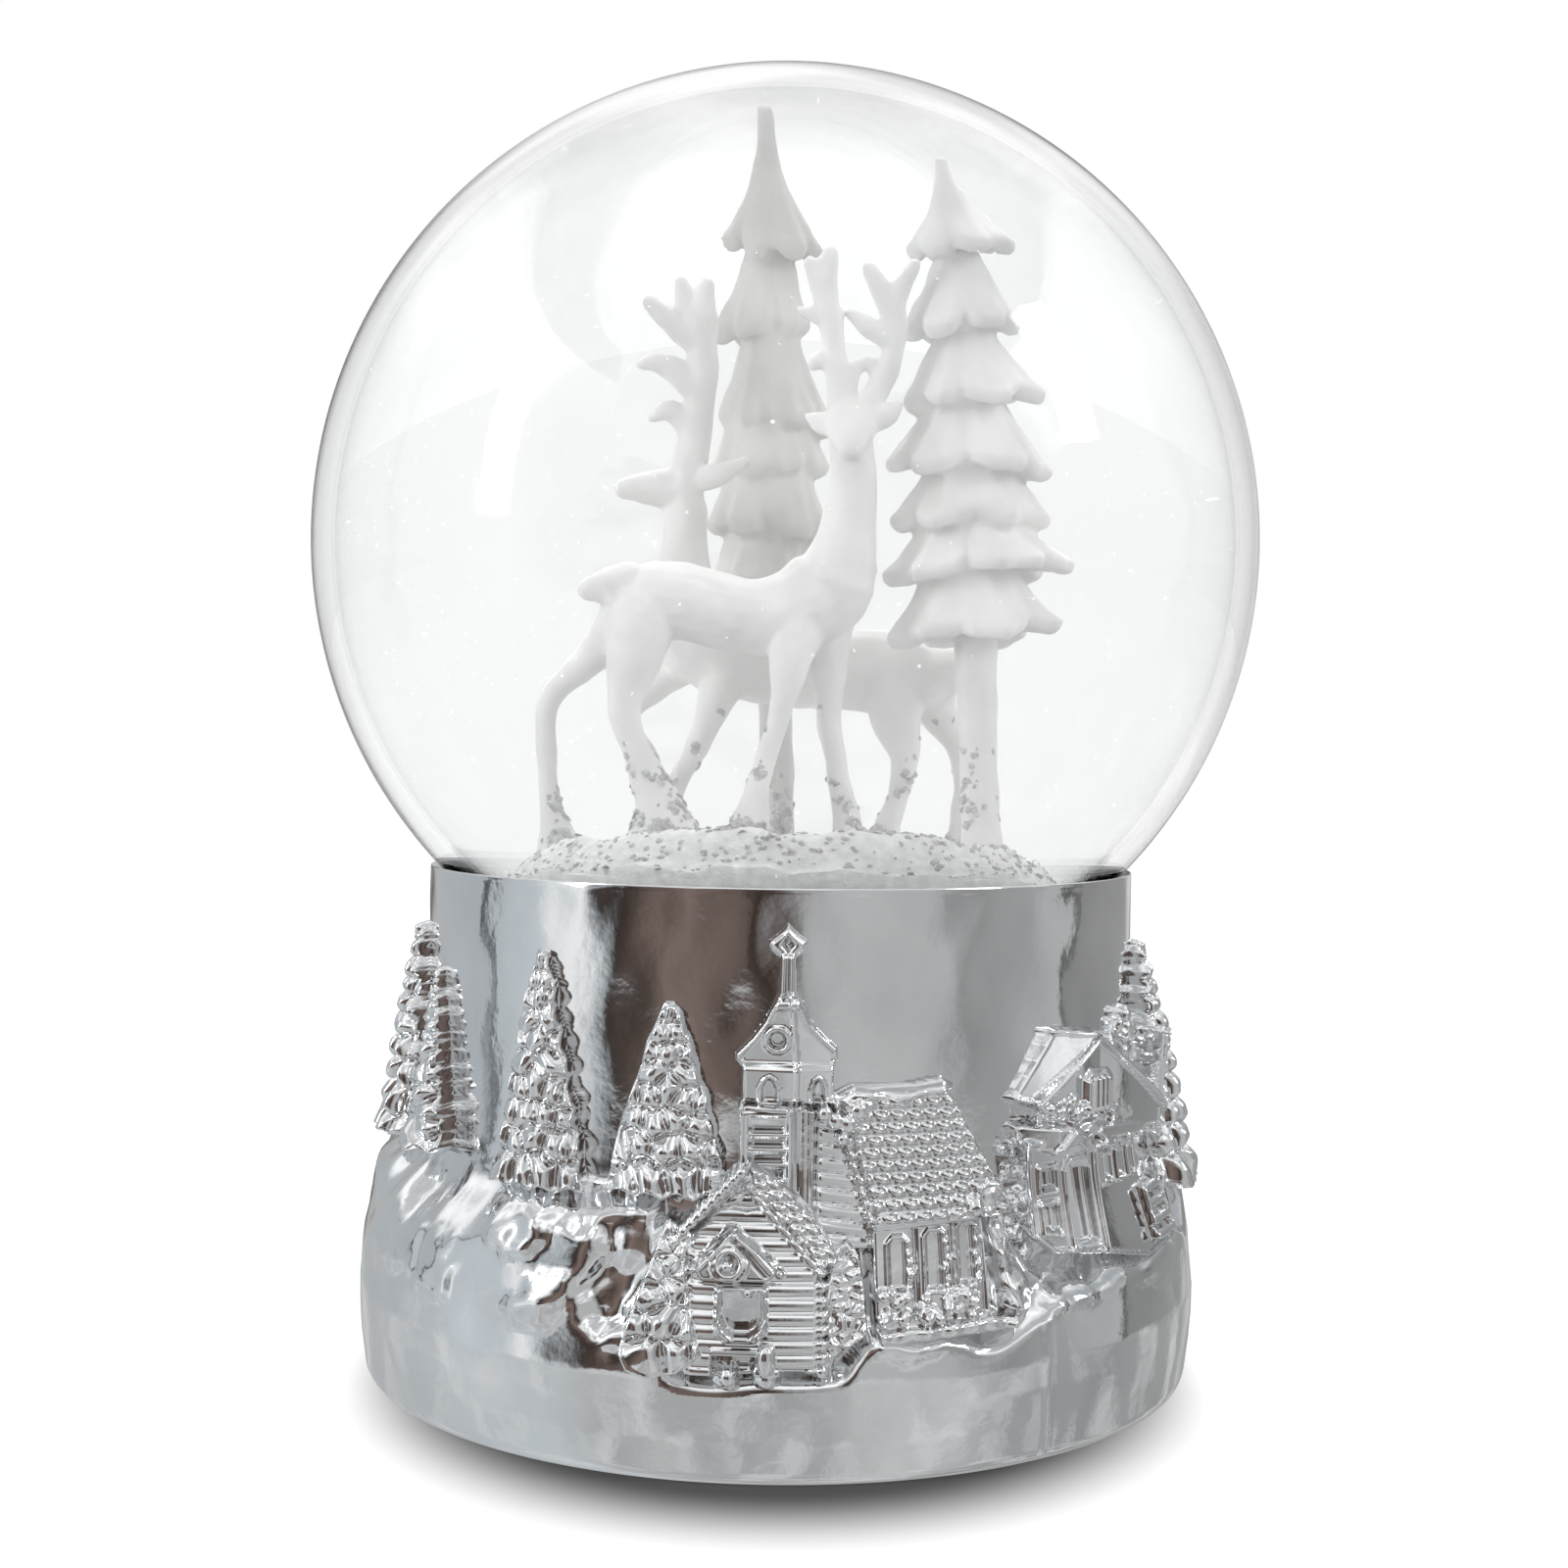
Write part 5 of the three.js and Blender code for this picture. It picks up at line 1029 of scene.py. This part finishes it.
def front_stag():
    """Walks to the right with its head turned to the front."""
    stag = Solid()
    y = FRONT_STAG

    def limb(*stations, **options):
        stag.limb(shifted(stations, y), **options)

    limb((-13.4, 82.2, 2), (-11.6, 81.6, 3.05), (-8, 81.3, 3.2), (-3, 80.2, 3.15), (0.8, 80.7, 3.5),
         (3.4, 82.4, 3.7), (4.6, 84, 3), thick=0.8)
    limb((4, 83, 3.4, -0.1), (4.9, 86.4, 2.55, -0.3), (5.4, 90.4, 2.02, -0.5), (5.3, 93.6, 1.8, -0.7),
         (5.15, 95.4, 1.8, -0.9), thick=0.9)
    limb((5.15, 95.8, 1.9, -0.7), (5.15, 95.4, 1.95, -1.5), (5.15, 94.3, 1.45, -3), (5.15, 93.5, 1.1, -3.8))
    limb((6.2, 95.5, 0.8, -0.8), (7.8, 96.4, 1.05, -0.9), (9.2, 97.5, 0.4, -1), thick=0.5)
    limb((4.1, 95.5, 0.8, -0.6), (2.8, 95.9, 0.95, -0.2), (1.6, 96.5, 0.4, 0.2), thick=0.5)
    limb((-12.4, 82.8, 1.9), (-14.4, 82.6, 1.45), (-16, 82.2, 1))
    limb((4.5, 96.4, 1.15, -0.4), (4.05, 99, 1), (3.7, 102, 0.98), (3.25, 105, 1), (2.9, 107.4, 1.05))
    limb((3, 106.4, 1), (3.1, 108.2, 0.85), (3.2, 109.2, 0.7))
    limb((2.8, 105.8, 0.9), (2.1, 107.4, 0.75), (1.7, 108.4, 0.6))
    limb((3.5, 103.8, 0.7), (2.2, 104.4, 0.65), (0.9, 104.8, 0.4))
    limb((3.9, 100.2, 0.75), (2.9, 101, 0.78), (2.1, 100.6, 0.6))
    limb((6, 96.4, 1.15, -0.4), (7.4, 98.8, 1), (8.3, 101, 0.98), (8.6, 103, 1), (8.3, 105.4, 1.05))
    limb((8.2, 105, 1), (7.2, 106.8, 0.85), (6.4, 108.1, 0.65))
    limb((8.3, 105, 1), (9, 106.8, 0.8), (10, 108.4, 0.55))
    limb((8.5, 102.2, 0.9), (6.8, 103.3, 0.8), (5, 104.6, 0.45))
    limb((4.9, 98, 0.65), (5.3, 100.1, 0.6), (6.3, 100.8, 0.6), (7, 100, 0.5))
    legs = (
        (1.4, [(-12.2, 81, 2.4, -0.7), (-14.6, 78, 1.75, -0.3), (-17.2, 75.4, 1.15), (-19.3, 73, 0.95),
               (-19.4, 68.6, 0.85), (-19.1, 64.4, 1), (-18.6, 62, 1.6), (-18.3, 60, 2.3)]),
        (-1.5, [(-11.2, 81, 2.6, 1.1), (-12.1, 77.4, 2.6, 0.5), (-12.9, 73.8, 1.65), (-12.9, 71.2, 1.25),
                (-11.6, 68, 1.35), (-10.4, 65, 1.9), (-9.9, 62.2, 3), (-9.8, 60, 3.5)]),
        (-1.6, [(1.6, 80.8, 2.5, 1.1), (0.7, 77.2, 2, 0.4), (0, 73.6, 1.15), (-0.9, 69.9, 0.95),
                (-1.9, 66.2, 1.05), (-2.4, 63.6, 1.5), (-2.8, 61.4, 2.2), (-2.9, 60, 2.6)]),
        (1.5, [(3.6, 80.8, 2.4, -0.8), (3.7, 76.4, 1.6, -0.3), (3.7, 72.6, 1.1), (4.3, 69, 0.95),
               (5, 65.6, 1), (5.5, 62.6, 1.35), (5.7, 60, 1.7)]),
    )
    for behind, stations in legs:
        stag.limb(shifted(stations, y + behind), thick=0.85, sides=18)
    made = stag.build("stag_walking_right", 0.24, relax=5)
    return on_body(made, "white_resin", "front_stag")


def rear_stag():
    """Walks to the left behind the other, with one foreleg lifted."""
    stag = Solid()
    y = REAR_STAG

    def limb(*stations, **options):
        stag.limb(shifted(stations, y), **options)

    limb((13, 77, 2.3), (11, 76.6, 3.1), (7.5, 76.9, 3.4), (1, 77, 3.2), (-4.6, 78, 3.4), (-7.4, 79.6, 3.3),
         (-8.2, 81.4, 2.7), thick=0.8)
    limb((-7.2, 79.8, 3.1), (-8, 84, 2.25), (-8.1, 87.4, 1.85), (-8.1, 90, 1.75), (-8.6, 91.4, 1.6),
         thick=0.9)
    limb((-8.2, 91.2, 1.8), (-10, 91.4, 1.6), (-11.7, 91.4, 1.2), (-12.9, 91.3, 0.95), thick=0.9)
    limb((-7.6, 91.8, 0.8, -0.8), (-5.6, 92.4, 1.05, -1.3), (-3.4, 93.5, 0.4, -1.6), thick=0.5)
    limb((-8, 92, 1.5), (-7.4, 95, 1.35), (-6.9, 98.4, 1.25), (-6.7, 102, 1.25), (-7, 105, 1.45))
    limb((-6.8, 104.6, 1.2), (-6.7, 106, 1), (-6.4, 107.2, 0.7))
    limb((-7.1, 104.6, 1.2), (-8, 106, 0.9), (-8.4, 107.3, 0.65))
    limb((-7.1, 102.8, 1.1), (-9, 104.2, 1), (-10.8, 105.8, 0.7))
    limb((-6.9, 98.8, 1), (-8.8, 100.6, 1.05), (-10.4, 101.3, 0.85), (-11.6, 101.1, 0.45))
    limb((-7.3, 94.8, 0.9), (-8.4, 96.9, 0.95), (-9.6, 97.6, 0.85), (-10.8, 96.9, 0.45))
    legs = (
        (1.4, [(11.8, 76, 2.5), (12.6, 73.4, 1.5), (14.2, 71, 1.05), (14.6, 68, 0.85), (14.3, 64.6, 0.9),
               (13.9, 62, 1.3), (13.7, 60, 1.7)]),
        (-1.5, [(8.8, 76.6, 2.7, 1.1), (9.3, 72.6, 2, 0.4), (9.9, 69.6, 1.2), (9.4, 66.6, 0.95),
                (8.5, 63.6, 1.15), (8, 61.4, 1.6), (7.9, 60, 2)]),
        (-1.4, [(-4.6, 78.4, 2.4, 1), (-5.4, 74.4, 1.6, 0.3), (-7, 70.4, 1), (-8.6, 67.2, 0.85),
                (-9, 64, 0.95), (-8.9, 61.8, 1.4), (-8.8, 60, 1.9)]),
        (1.5, [(-6.2, 78.8, 2.3), (-9, 76.6, 1.4), (-11.6, 74.4, 1), (-12.6, 72.8, 0.85),
               (-11.4, 70.8, 0.8), (-10.4, 69.4, 0.8)]),
    )
    for behind, stations in legs:
        stag.limb(shifted(stations, y + behind), thick=0.85, sides=18)
    made = stag.build("stag_walking_left", 0.24, relax=5)
    return on_body(made, "white_resin", "rear_stag")


# A fir's tiers, from the tip down: (top, hem, waist, reach to the left, reach to the right, how much higher
# the hem is on the right)
TALL_FIR = {
    "y": 12.6, "trunk": [(-1.2, 86, 1.7), (-0.7, 76, 1.4), (-0.4, 66, 1.4), (-0.5, 59.6, 2)],
    "spine": [(121, -2), (114, -1.6), (104, -1.4), (60, -1.4)],
    "tiers": [
        (119.2, 111.6, 0.6, 3.6, 4.2, -0.4), (112, 105.6, 1.5, 4.4, 3.2, 0.3),
        (105.4, 98.8, 2.1, 4, 5.3, -0.5), (99.4, 94.6, 3, 4.9, 4.7, 0.3), (95, 89.8, 3.2, 4.9, 5.3, -0.4),
        (90.4, 85.8, 3, 4.7, 4.2, 0.4),
    ],
}
RIGHT_FIR = {
    "y": -2.2, "trunk": [(15.6, 82, 1.9), (15.8, 74, 1.7), (16.3, 66, 1.6), (16.6, 59.6, 2)],
    "spine": [(117, 11.7), (110, 13.2), (98, 14.4), (80, 15.2)],
    "tiers": [
        (116.8, 110.8, 0.6, 4, 4.6, 0.3), (111, 104.9, 1.4, 4.8, 4.8, 0.4), (104.8, 99.2, 2, 5.2, 6.2, 0.5),
        (99.4, 93.9, 2.6, 6.6, 6.7, -0.2), (94.2, 89.6, 3, 6.5, 6.5, 0.4), (89.6, 85.2, 3.4, 7, 8.4, 0.7),
        (85.4, 80.2, 3.6, 6.7, 7.5, 0.6),
    ],
}
FIR_DEPTH = 0.62


def fir(name, node, plan, seed, material=RESIN):
    tree = Solid()
    tree.limb([(x, plan["y"], z, radius) for x, z, radius in plan["trunk"]])
    y = plan["y"]
    for k, tier in enumerate(plan["tiers"]):
        top, hem, waist = tier[:3]
        tree.skirt(plan["spine"], y, tier, FIR_DEPTH, seed + k)
        if k:
            x = np.interp(top, *np.array(plan["spine"][::-1]).T)
            tree.limb([(x, y, top + 2.4, waist * 0.8), (x, y, hem + 1, waist * 0.8)], thick=FIR_DEPTH)
    made = tree.build(name, 0.26, material, relax=3)
    return on_body(made, "white_resin", node)


# ---------------------------------------------------------------- snow


def snow():
    """The heap of snow in the foot of the globe, uneven on top."""
    sides, steps = 160, 40
    share = np.linspace(0, 1, steps)[1:]
    angles = np.linspace(-math.pi, math.pi, sides, endpoint=False)[None, :]
    radius = (MOUND_RADIUS * share)[:, None] * np.ones_like(angles)
    x, y = radius * np.sin(angles), -radius * np.cos(angles)
    height = GROUND_Z + 0.2 * waves(x, y, 0, 2.6, 71) + 0.35 * waves(x, y, 0, 8, 72)
    height = height - 4.6 * smooth((radius / MOUND_RADIUS - 0.8) / 0.2)
    below = np.array([[MOUND_BOTTOM + 1.2], [MOUND_BOTTOM]]) * np.ones_like(angles)
    rim = np.ones((1, sides))
    radii = np.vstack([radius, MOUND_RADIUS * rim, (MOUND_RADIUS - 1) * rim])
    made = ring_grid("snow_heap", radii, np.vstack([height, below]), angles, SNOW)
    return on_body(made, "white_resin", "snow_mound")


def flakes(name, places, normals, sizes, material, slot, seed):
    """Small six-sided flakes as one mesh. Each lies across its normal."""
    rng = np.random.default_rng(seed)
    points, faces = [], []
    for place, normal, size in zip(places, normals, sizes):
        normal = normal / np.linalg.norm(normal)
        side = np.cross(normal, rng.normal(size=3))
        side /= np.linalg.norm(side)
        other = np.cross(normal, side)
        first = len(points)
        angles = np.arange(6) * math.pi / 3
        corners = np.outer(np.cos(angles), side) + np.outer(np.sin(angles), other)
        ring = place + size * rng.uniform(0.55, 1.2, 6)[:, None] * corners
        points += [*ring, place + normal * size * 0.4, place - normal * size * 0.4]
        for k in range(6):
            after = (k + 1) % 6
            faces.append([first + k, first + after, first + 6])
            faces.append([first + after, first + k, first + 7])
    return on_body(piece(name, points, faces, material, smooth=False), slot)


def settled_flakes(figures):
    """Flakes on the ground and on the lower legs, thinning out upwards.

    Each lies where a ray first meets a figure or the ground: a ray from the front, or one straight down.
    """
    rng = np.random.default_rng(81)
    from_front, from_above, highest = 3600, 2400, 73.5
    places, normals, sizes = [], [], []
    shapes = [BVHTree.FromObject(o, bpy.context.evaluated_depsgraph_get()) for o in figures]
    rays = [
        (Vector((x * MM, -0.04, z * MM)), Vector((0, 1, 0)))
        for x, z in zip(rng.uniform(-21, 19, from_front), GROUND_Z + rng.exponential(3.0, from_front))
    ]
    rays += [
        (Vector((x * MM, y * MM, 0.07)), Vector((0, 0, -1)))
        for x, y in zip(rng.uniform(-24, 24, from_above), rng.uniform(-24, 24, from_above))
    ]
    for start, direction in rays:
        hits = [shape.ray_cast(start, direction, 0.08) for shape in shapes]
        hits = [hit for hit in hits if hit[0] is not None]
        if not hits or (direction.y and start.z > highest * MM):
            continue
        place, normal, _, _ = min(hits, key=lambda hit: hit[3])
        if direction.y and waves(*(np.array(place) / MM), 3.2, 85) < 0.35:
            continue
        places.append(np.array(place) / MM)
        normals.append(np.array(normal) + rng.normal(scale=0.35, size=3))
        sizes.append(rng.uniform(0.2, 0.5))
    return flakes("settled_flakes", places, normals, sizes, FLAKE, "white_resin", 82)


def floating_specks():
    """Specks that drift in the water, most of them on the left."""
    rng = np.random.default_rng(83)
    count, lowest = 620, -24
    places = []
    while len(places) < count:
        place = rng.uniform(-46, 46, 3)
        keep = rng.uniform() < (0.9 if place[0] < -12 else 0.3)
        clear_of_figures = abs(place[1]) > 17 or abs(place[0]) > 24
        in_water = np.linalg.norm(place) < WATER_RADIUS - 1.5 and place[2] > lowest
        if keep and clear_of_figures and in_water:
            places.append(place + [0, 0, GLOBE_Z])
    sizes = rng.uniform(0.06, 0.17, count)
    normals = rng.normal(size=(count, 3))
    return flakes("floating_specks", places, normals, sizes, SPECK_PAINTED_GLOW, "white_resin", 84)


# ---------------------------------------------------------------- CAD nodes that stay


def paint_cad_nodes():
    """Gives each CAD node that still shows the look of its record slot."""
    for entry in frame["record"]["subparts"]:
        node = frame["nodes"][entry["node"]]
        if not node.hide_render:
            node.data.materials.clear()
            node.data.materials.append(CAD_LOOKS[entry["material_slot"]])


# ---------------------------------------------------------------- camera, light and floor


CAMERA_PLACE = (0.2, -220.4, 64.5)
CAMERA_LENS = 46.68
CAMERA_TILT = 0.965  # degrees down
CAMERA_ROLL = 0.75  # degrees


def camera():
    data = bpy.data.cameras.new("camera")
    data.lens = CAMERA_LENS
    data.clip_start = 0.01
    made = bpy.data.objects.new("camera", data)
    made.location = [value * MM for value in CAMERA_PLACE]
    made.rotation_mode = "XYZ"
    ahead = Vector((0, 1, -math.tan(math.radians(CAMERA_TILT))))
    level = ahead.to_track_quat("-Z", "Y").to_matrix().to_4x4()
    roll = Matrix.Rotation(math.radians(CAMERA_ROLL), 4, "Z")
    made.rotation_euler = (level @ roll).to_euler()
    bpy.context.scene.collection.objects.link(made)
    bpy.context.scene.camera = made


def area_light(name, place, target, size, power):
    data = bpy.data.lights.new(name, "AREA")
    data.shape = "RECTANGLE"
    data.size, data.size_y = size
    data.energy = power
    made = bpy.data.objects.new(name, data)
    made.location = place
    made.rotation_euler = (Vector(target) - Vector(place)).to_track_quat("-Z", "Y").to_euler()
    bpy.context.scene.collection.objects.link(made)
    return made


def grey(value, tint=(1, 1, 1)):
    """A display grey as linear light."""
    return tuple((value * t) ** 2.2 for t in tint)


BROWN = (1.12, 0.98, 0.92)
BLUE = (0.97, 1.0, 1.02)
# What the plating mirrors near the horizon, by degrees from the camera towards +X
ROOM = [
    (-180, grey(0.5)), (-173, grey(0.8)), (-160, grey(0.35)), (-152, grey(0.72)), (-135, grey(0.74, BLUE)),
    (-105, grey(0.74, BLUE)), (-102.5, grey(0.3)), (-100, grey(0.78, BLUE)), (-80, grey(0.84, BLUE)),
    (-66, grey(1.0)), (-58, grey(0.72, BLUE)), (-53, grey(0.2, BROWN)), (-40, grey(0.34, BROWN)),
    (-30, grey(0.46, BROWN)), (-14, grey(0.36, BROWN)), (-5, grey(0.2, BROWN)), (0, grey(0.3, BROWN)),
    (9, grey(0.68)), (18, grey(0.75)), (50, grey(0.73)), (58, grey(0.6)), (84, grey(0.66)),
    (101, grey(0.74)), (104.5, grey(0.22)), (107, grey(0.56)), (150, grey(0.62)), (158, grey(0.84)),
    (170, grey(0.4)), (180, grey(0.5)),
]
# What it mirrors of the floor, by share of the way round from behind
FLOOR_LIGHT = [
    (0, grey(0.7)), (0.3, grey(0.82, BLUE)), (0.4, grey(0.71)), (0.5, grey(0.68)), (0.54, grey(0.7)),
    (0.585, grey(0.8)), (0.64, grey(0.76)), (0.69, grey(0.66)), (0.77, grey(0.62)), (1, grey(0.66)),
]
# What it mirrors of the ceiling, by a cloudy noise
CEILING = [(0.38, grey(0.72, BLUE)), (0.5, grey(0.86)), (0.6, grey(1.1))]


def world():
    """White for the eye and for what shows through the glass, and a soft room for mirrored rays."""
    made = bpy.data.worlds.new("world")
    bpy.context.scene.world = made
    made.use_nodes = True
    nodes, links = made.node_tree.nodes, made.node_tree.links
    nodes.clear()

    def linked(node, *inputs):
        for socket, value in inputs:
            if hasattr(value, "is_linked"):
                links.new(value, socket)
            else:
                socket.default_value = value
        return node

    def math_node(operation, *inputs):
        node = add(nodes, "Math")
        node.operation = operation
        return linked(node, *zip(node.inputs, inputs)).outputs[0]

    def mix(factor, first, second):
        node = add(nodes, "Mix")
        node.data_type = "RGBA"
        first, second = ((*c, 1) if isinstance(c, tuple) else c for c in (first, second))
        sockets = node.inputs[0], node.inputs[6], node.inputs[7]
        return linked(node, *zip(sockets, (factor, first, second))).outputs[2]

    def mix_shader(factor, first, second):
        node = add(nodes, "MixShader")
        return linked(node, *zip(node.inputs, (factor, first, second))).outputs[0]

    def cloudy(scale, detail=2.0):
        texture = add(nodes, "TexNoise", Scale=scale, Detail=detail)
        return linked(texture, (texture.inputs["Vector"], direction)).outputs["Fac"]

    def background(colour):
        node = add(nodes, "Background")
        return linked(node, (node.inputs["Color"], colour)).outputs[0]

    direction = add(nodes, "TexCoord").outputs["Generated"]
    parts = add(nodes, "SeparateXYZ")
    links.new(direction, parts.inputs[0])
    x, y, z = parts.outputs
    azimuth = math_node("ARCTAN2", x, math_node("MULTIPLY", y, -1.0))
    turn = math_node("ADD", math_node("DIVIDE", azimuth, 2 * math.pi), 0.5)
    shift = math_node("MULTIPLY", math_node("SUBTRACT", cloudy(5.0, 6.0), 0.5), 0.05)
    height = math_node("ADD", z, math_node("MULTIPLY", shift, 1.5))
    room_stops = [((degrees + 180) / 360, colour) for degrees, colour in ROOM]
    room = ramp(nodes, links, math_node("ADD", turn, shift), room_stops)

    floor_light = ramp(nodes, links, turn, FLOOR_LIGHT)
    patches = map_range(nodes, links, cloudy(6.0), *NOISE_RANGE, -0.5, 0.8)
    floor_light = mix(patches, floor_light, grey(0.88))
    floor_share = map_range(nodes, links, height, -0.18, -0.23, curve="SMOOTHSTEP")
    ceiling_share = map_range(nodes, links, height, 0.3, 0.62, curve="SMOOTHSTEP")
    lit = mix(floor_share, room, floor_light)
    lit = mix(ceiling_share, lit, ramp(nodes, links, cloudy(2.2), CEILING))

    path = add(nodes, "LightPath").outputs
    overhead = map_range(nodes, links, z, 0.05, 0.45)
    soft = background(mix(overhead, (0.98, 0.98, 0.97), (0.16, 0.16, 0.16)))
    unseen = mix_shader(path["Is Glossy Ray"], soft, background(lit))
    seen = math_node("MAXIMUM", path["Is Camera Ray"], path["Is Transmission Ray"])
    whole = mix_shader(seen, unseen, background((1.0, 1.0, 1.0, 1)))
    links.new(whole, add(nodes, "OutputWorld").inputs["Surface"])


# A painted shadow round the foot: the floor's colour is dark, and only its glow, which fades in over an
# oval moved towards the camera, makes it white.
PAINTED_SHADOW_EDGE = (0.038, 0.054)  # metres from the middle at which the floor starts and ends to glow; nearer in lies the painted shadow
PAINTED_SHADOW_SHIFT = 0.007  # metres by which the shadow lies towards the camera
PAINTED_SHADOW_SQUEEZE = 1.15  # how many times narrower than deep the shadow is


def painted_shadow_floor():
    """Dark paper with a painted shadow round the foot: it glows white farther off, so that it shows no
    horizon.

    From below it is clear, so that the underside of the base can be looked at.
    """
    material, nodes, links = node_tree("studio_floor")
    shader = nodes["Principled BSDF"]
    # Painted shadow: the floor's own colour is dark, and its glow lifts it to white only away from the
    # foot.
    shader.inputs["Base Color"].default_value = (0.14, 0.14, 0.14, 1)
    shader.inputs["Roughness"].default_value = 0.9
    shader.inputs["Emission Color"].default_value = (1, 1, 1, 1)
    painted_shadow_oval = add(nodes, "Mapping", Location=(0, PAINTED_SHADOW_SHIFT, 0), Scale=(PAINTED_SHADOW_SQUEEZE, 1, 1))
    links.new(add(nodes, "TexCoord").outputs["Object"], painted_shadow_oval.inputs["Vector"])
    length = add(nodes, "VectorMath")
    length.operation = "LENGTH"
    links.new(painted_shadow_oval.outputs["Vector"], length.inputs[0])
    glow = map_range(nodes, links, length.outputs["Value"], *PAINTED_SHADOW_EDGE, curve="SMOOTHSTEP")
    links.new(glow, shader.inputs["Emission Strength"])
    from_above = add(nodes, "MixShader")
    links.new(add(nodes, "NewGeometry").outputs["Backfacing"], from_above.inputs["Fac"])
    links.new(shader.outputs["BSDF"], from_above.inputs[1])
    links.new(add(nodes, "BsdfTransparent").outputs["BSDF"], from_above.inputs[2])
    links.new(from_above.outputs["Shader"], nodes["Material Output"].inputs["Surface"])
    return material


def studio():
    """The floor, two soft boxes that show as highlights on the glass, and a soft light from above."""
    corners = [(-2000, -1500, 0), (2000, -1500, 0), (2000, 2500, 0), (-2000, 2500, 0)]
    floor = piece("studio_floor", corners, [[0, 1, 2, 3]], painted_shadow_floor())
    floor.visible_glossy = False
    top = area_light("soft_top", (0, 0.28, 0.6), (0, 0, 0.02), (0.3, 0.3), 3.4)
    top.visible_transmission = False
    top.visible_glossy = False
    area_light("left_box", (-0.42, -0.18, 0.26), (0, 0, 0.09), (0.05, 0.3), 0.5)
    area_light("right_box", (0.40, -0.14, 0.34), (0, 0, 0.09), (0.06, 0.22), 0.4)


# ---------------------------------------------------------------- the scene

on_body(base_casting(), "silver_plating", "base_shell")
screw_bosses()
relief()
glass()
water()
heap = snow()
figures = [
    front_stag(),
    rear_stag(),
    fir("fir_tall", "tall_tree", TALL_FIR, 100, RESIN_PAINTED_SHADE),
    fir("fir_right", "right_tree", RIGHT_FIR, 120),
]
settled_flakes([heap, *figures])
floating_specks()
paint_cad_nodes()
camera()
world()
studio()
bpy.context.scene.view_settings.view_transform = "Standard"
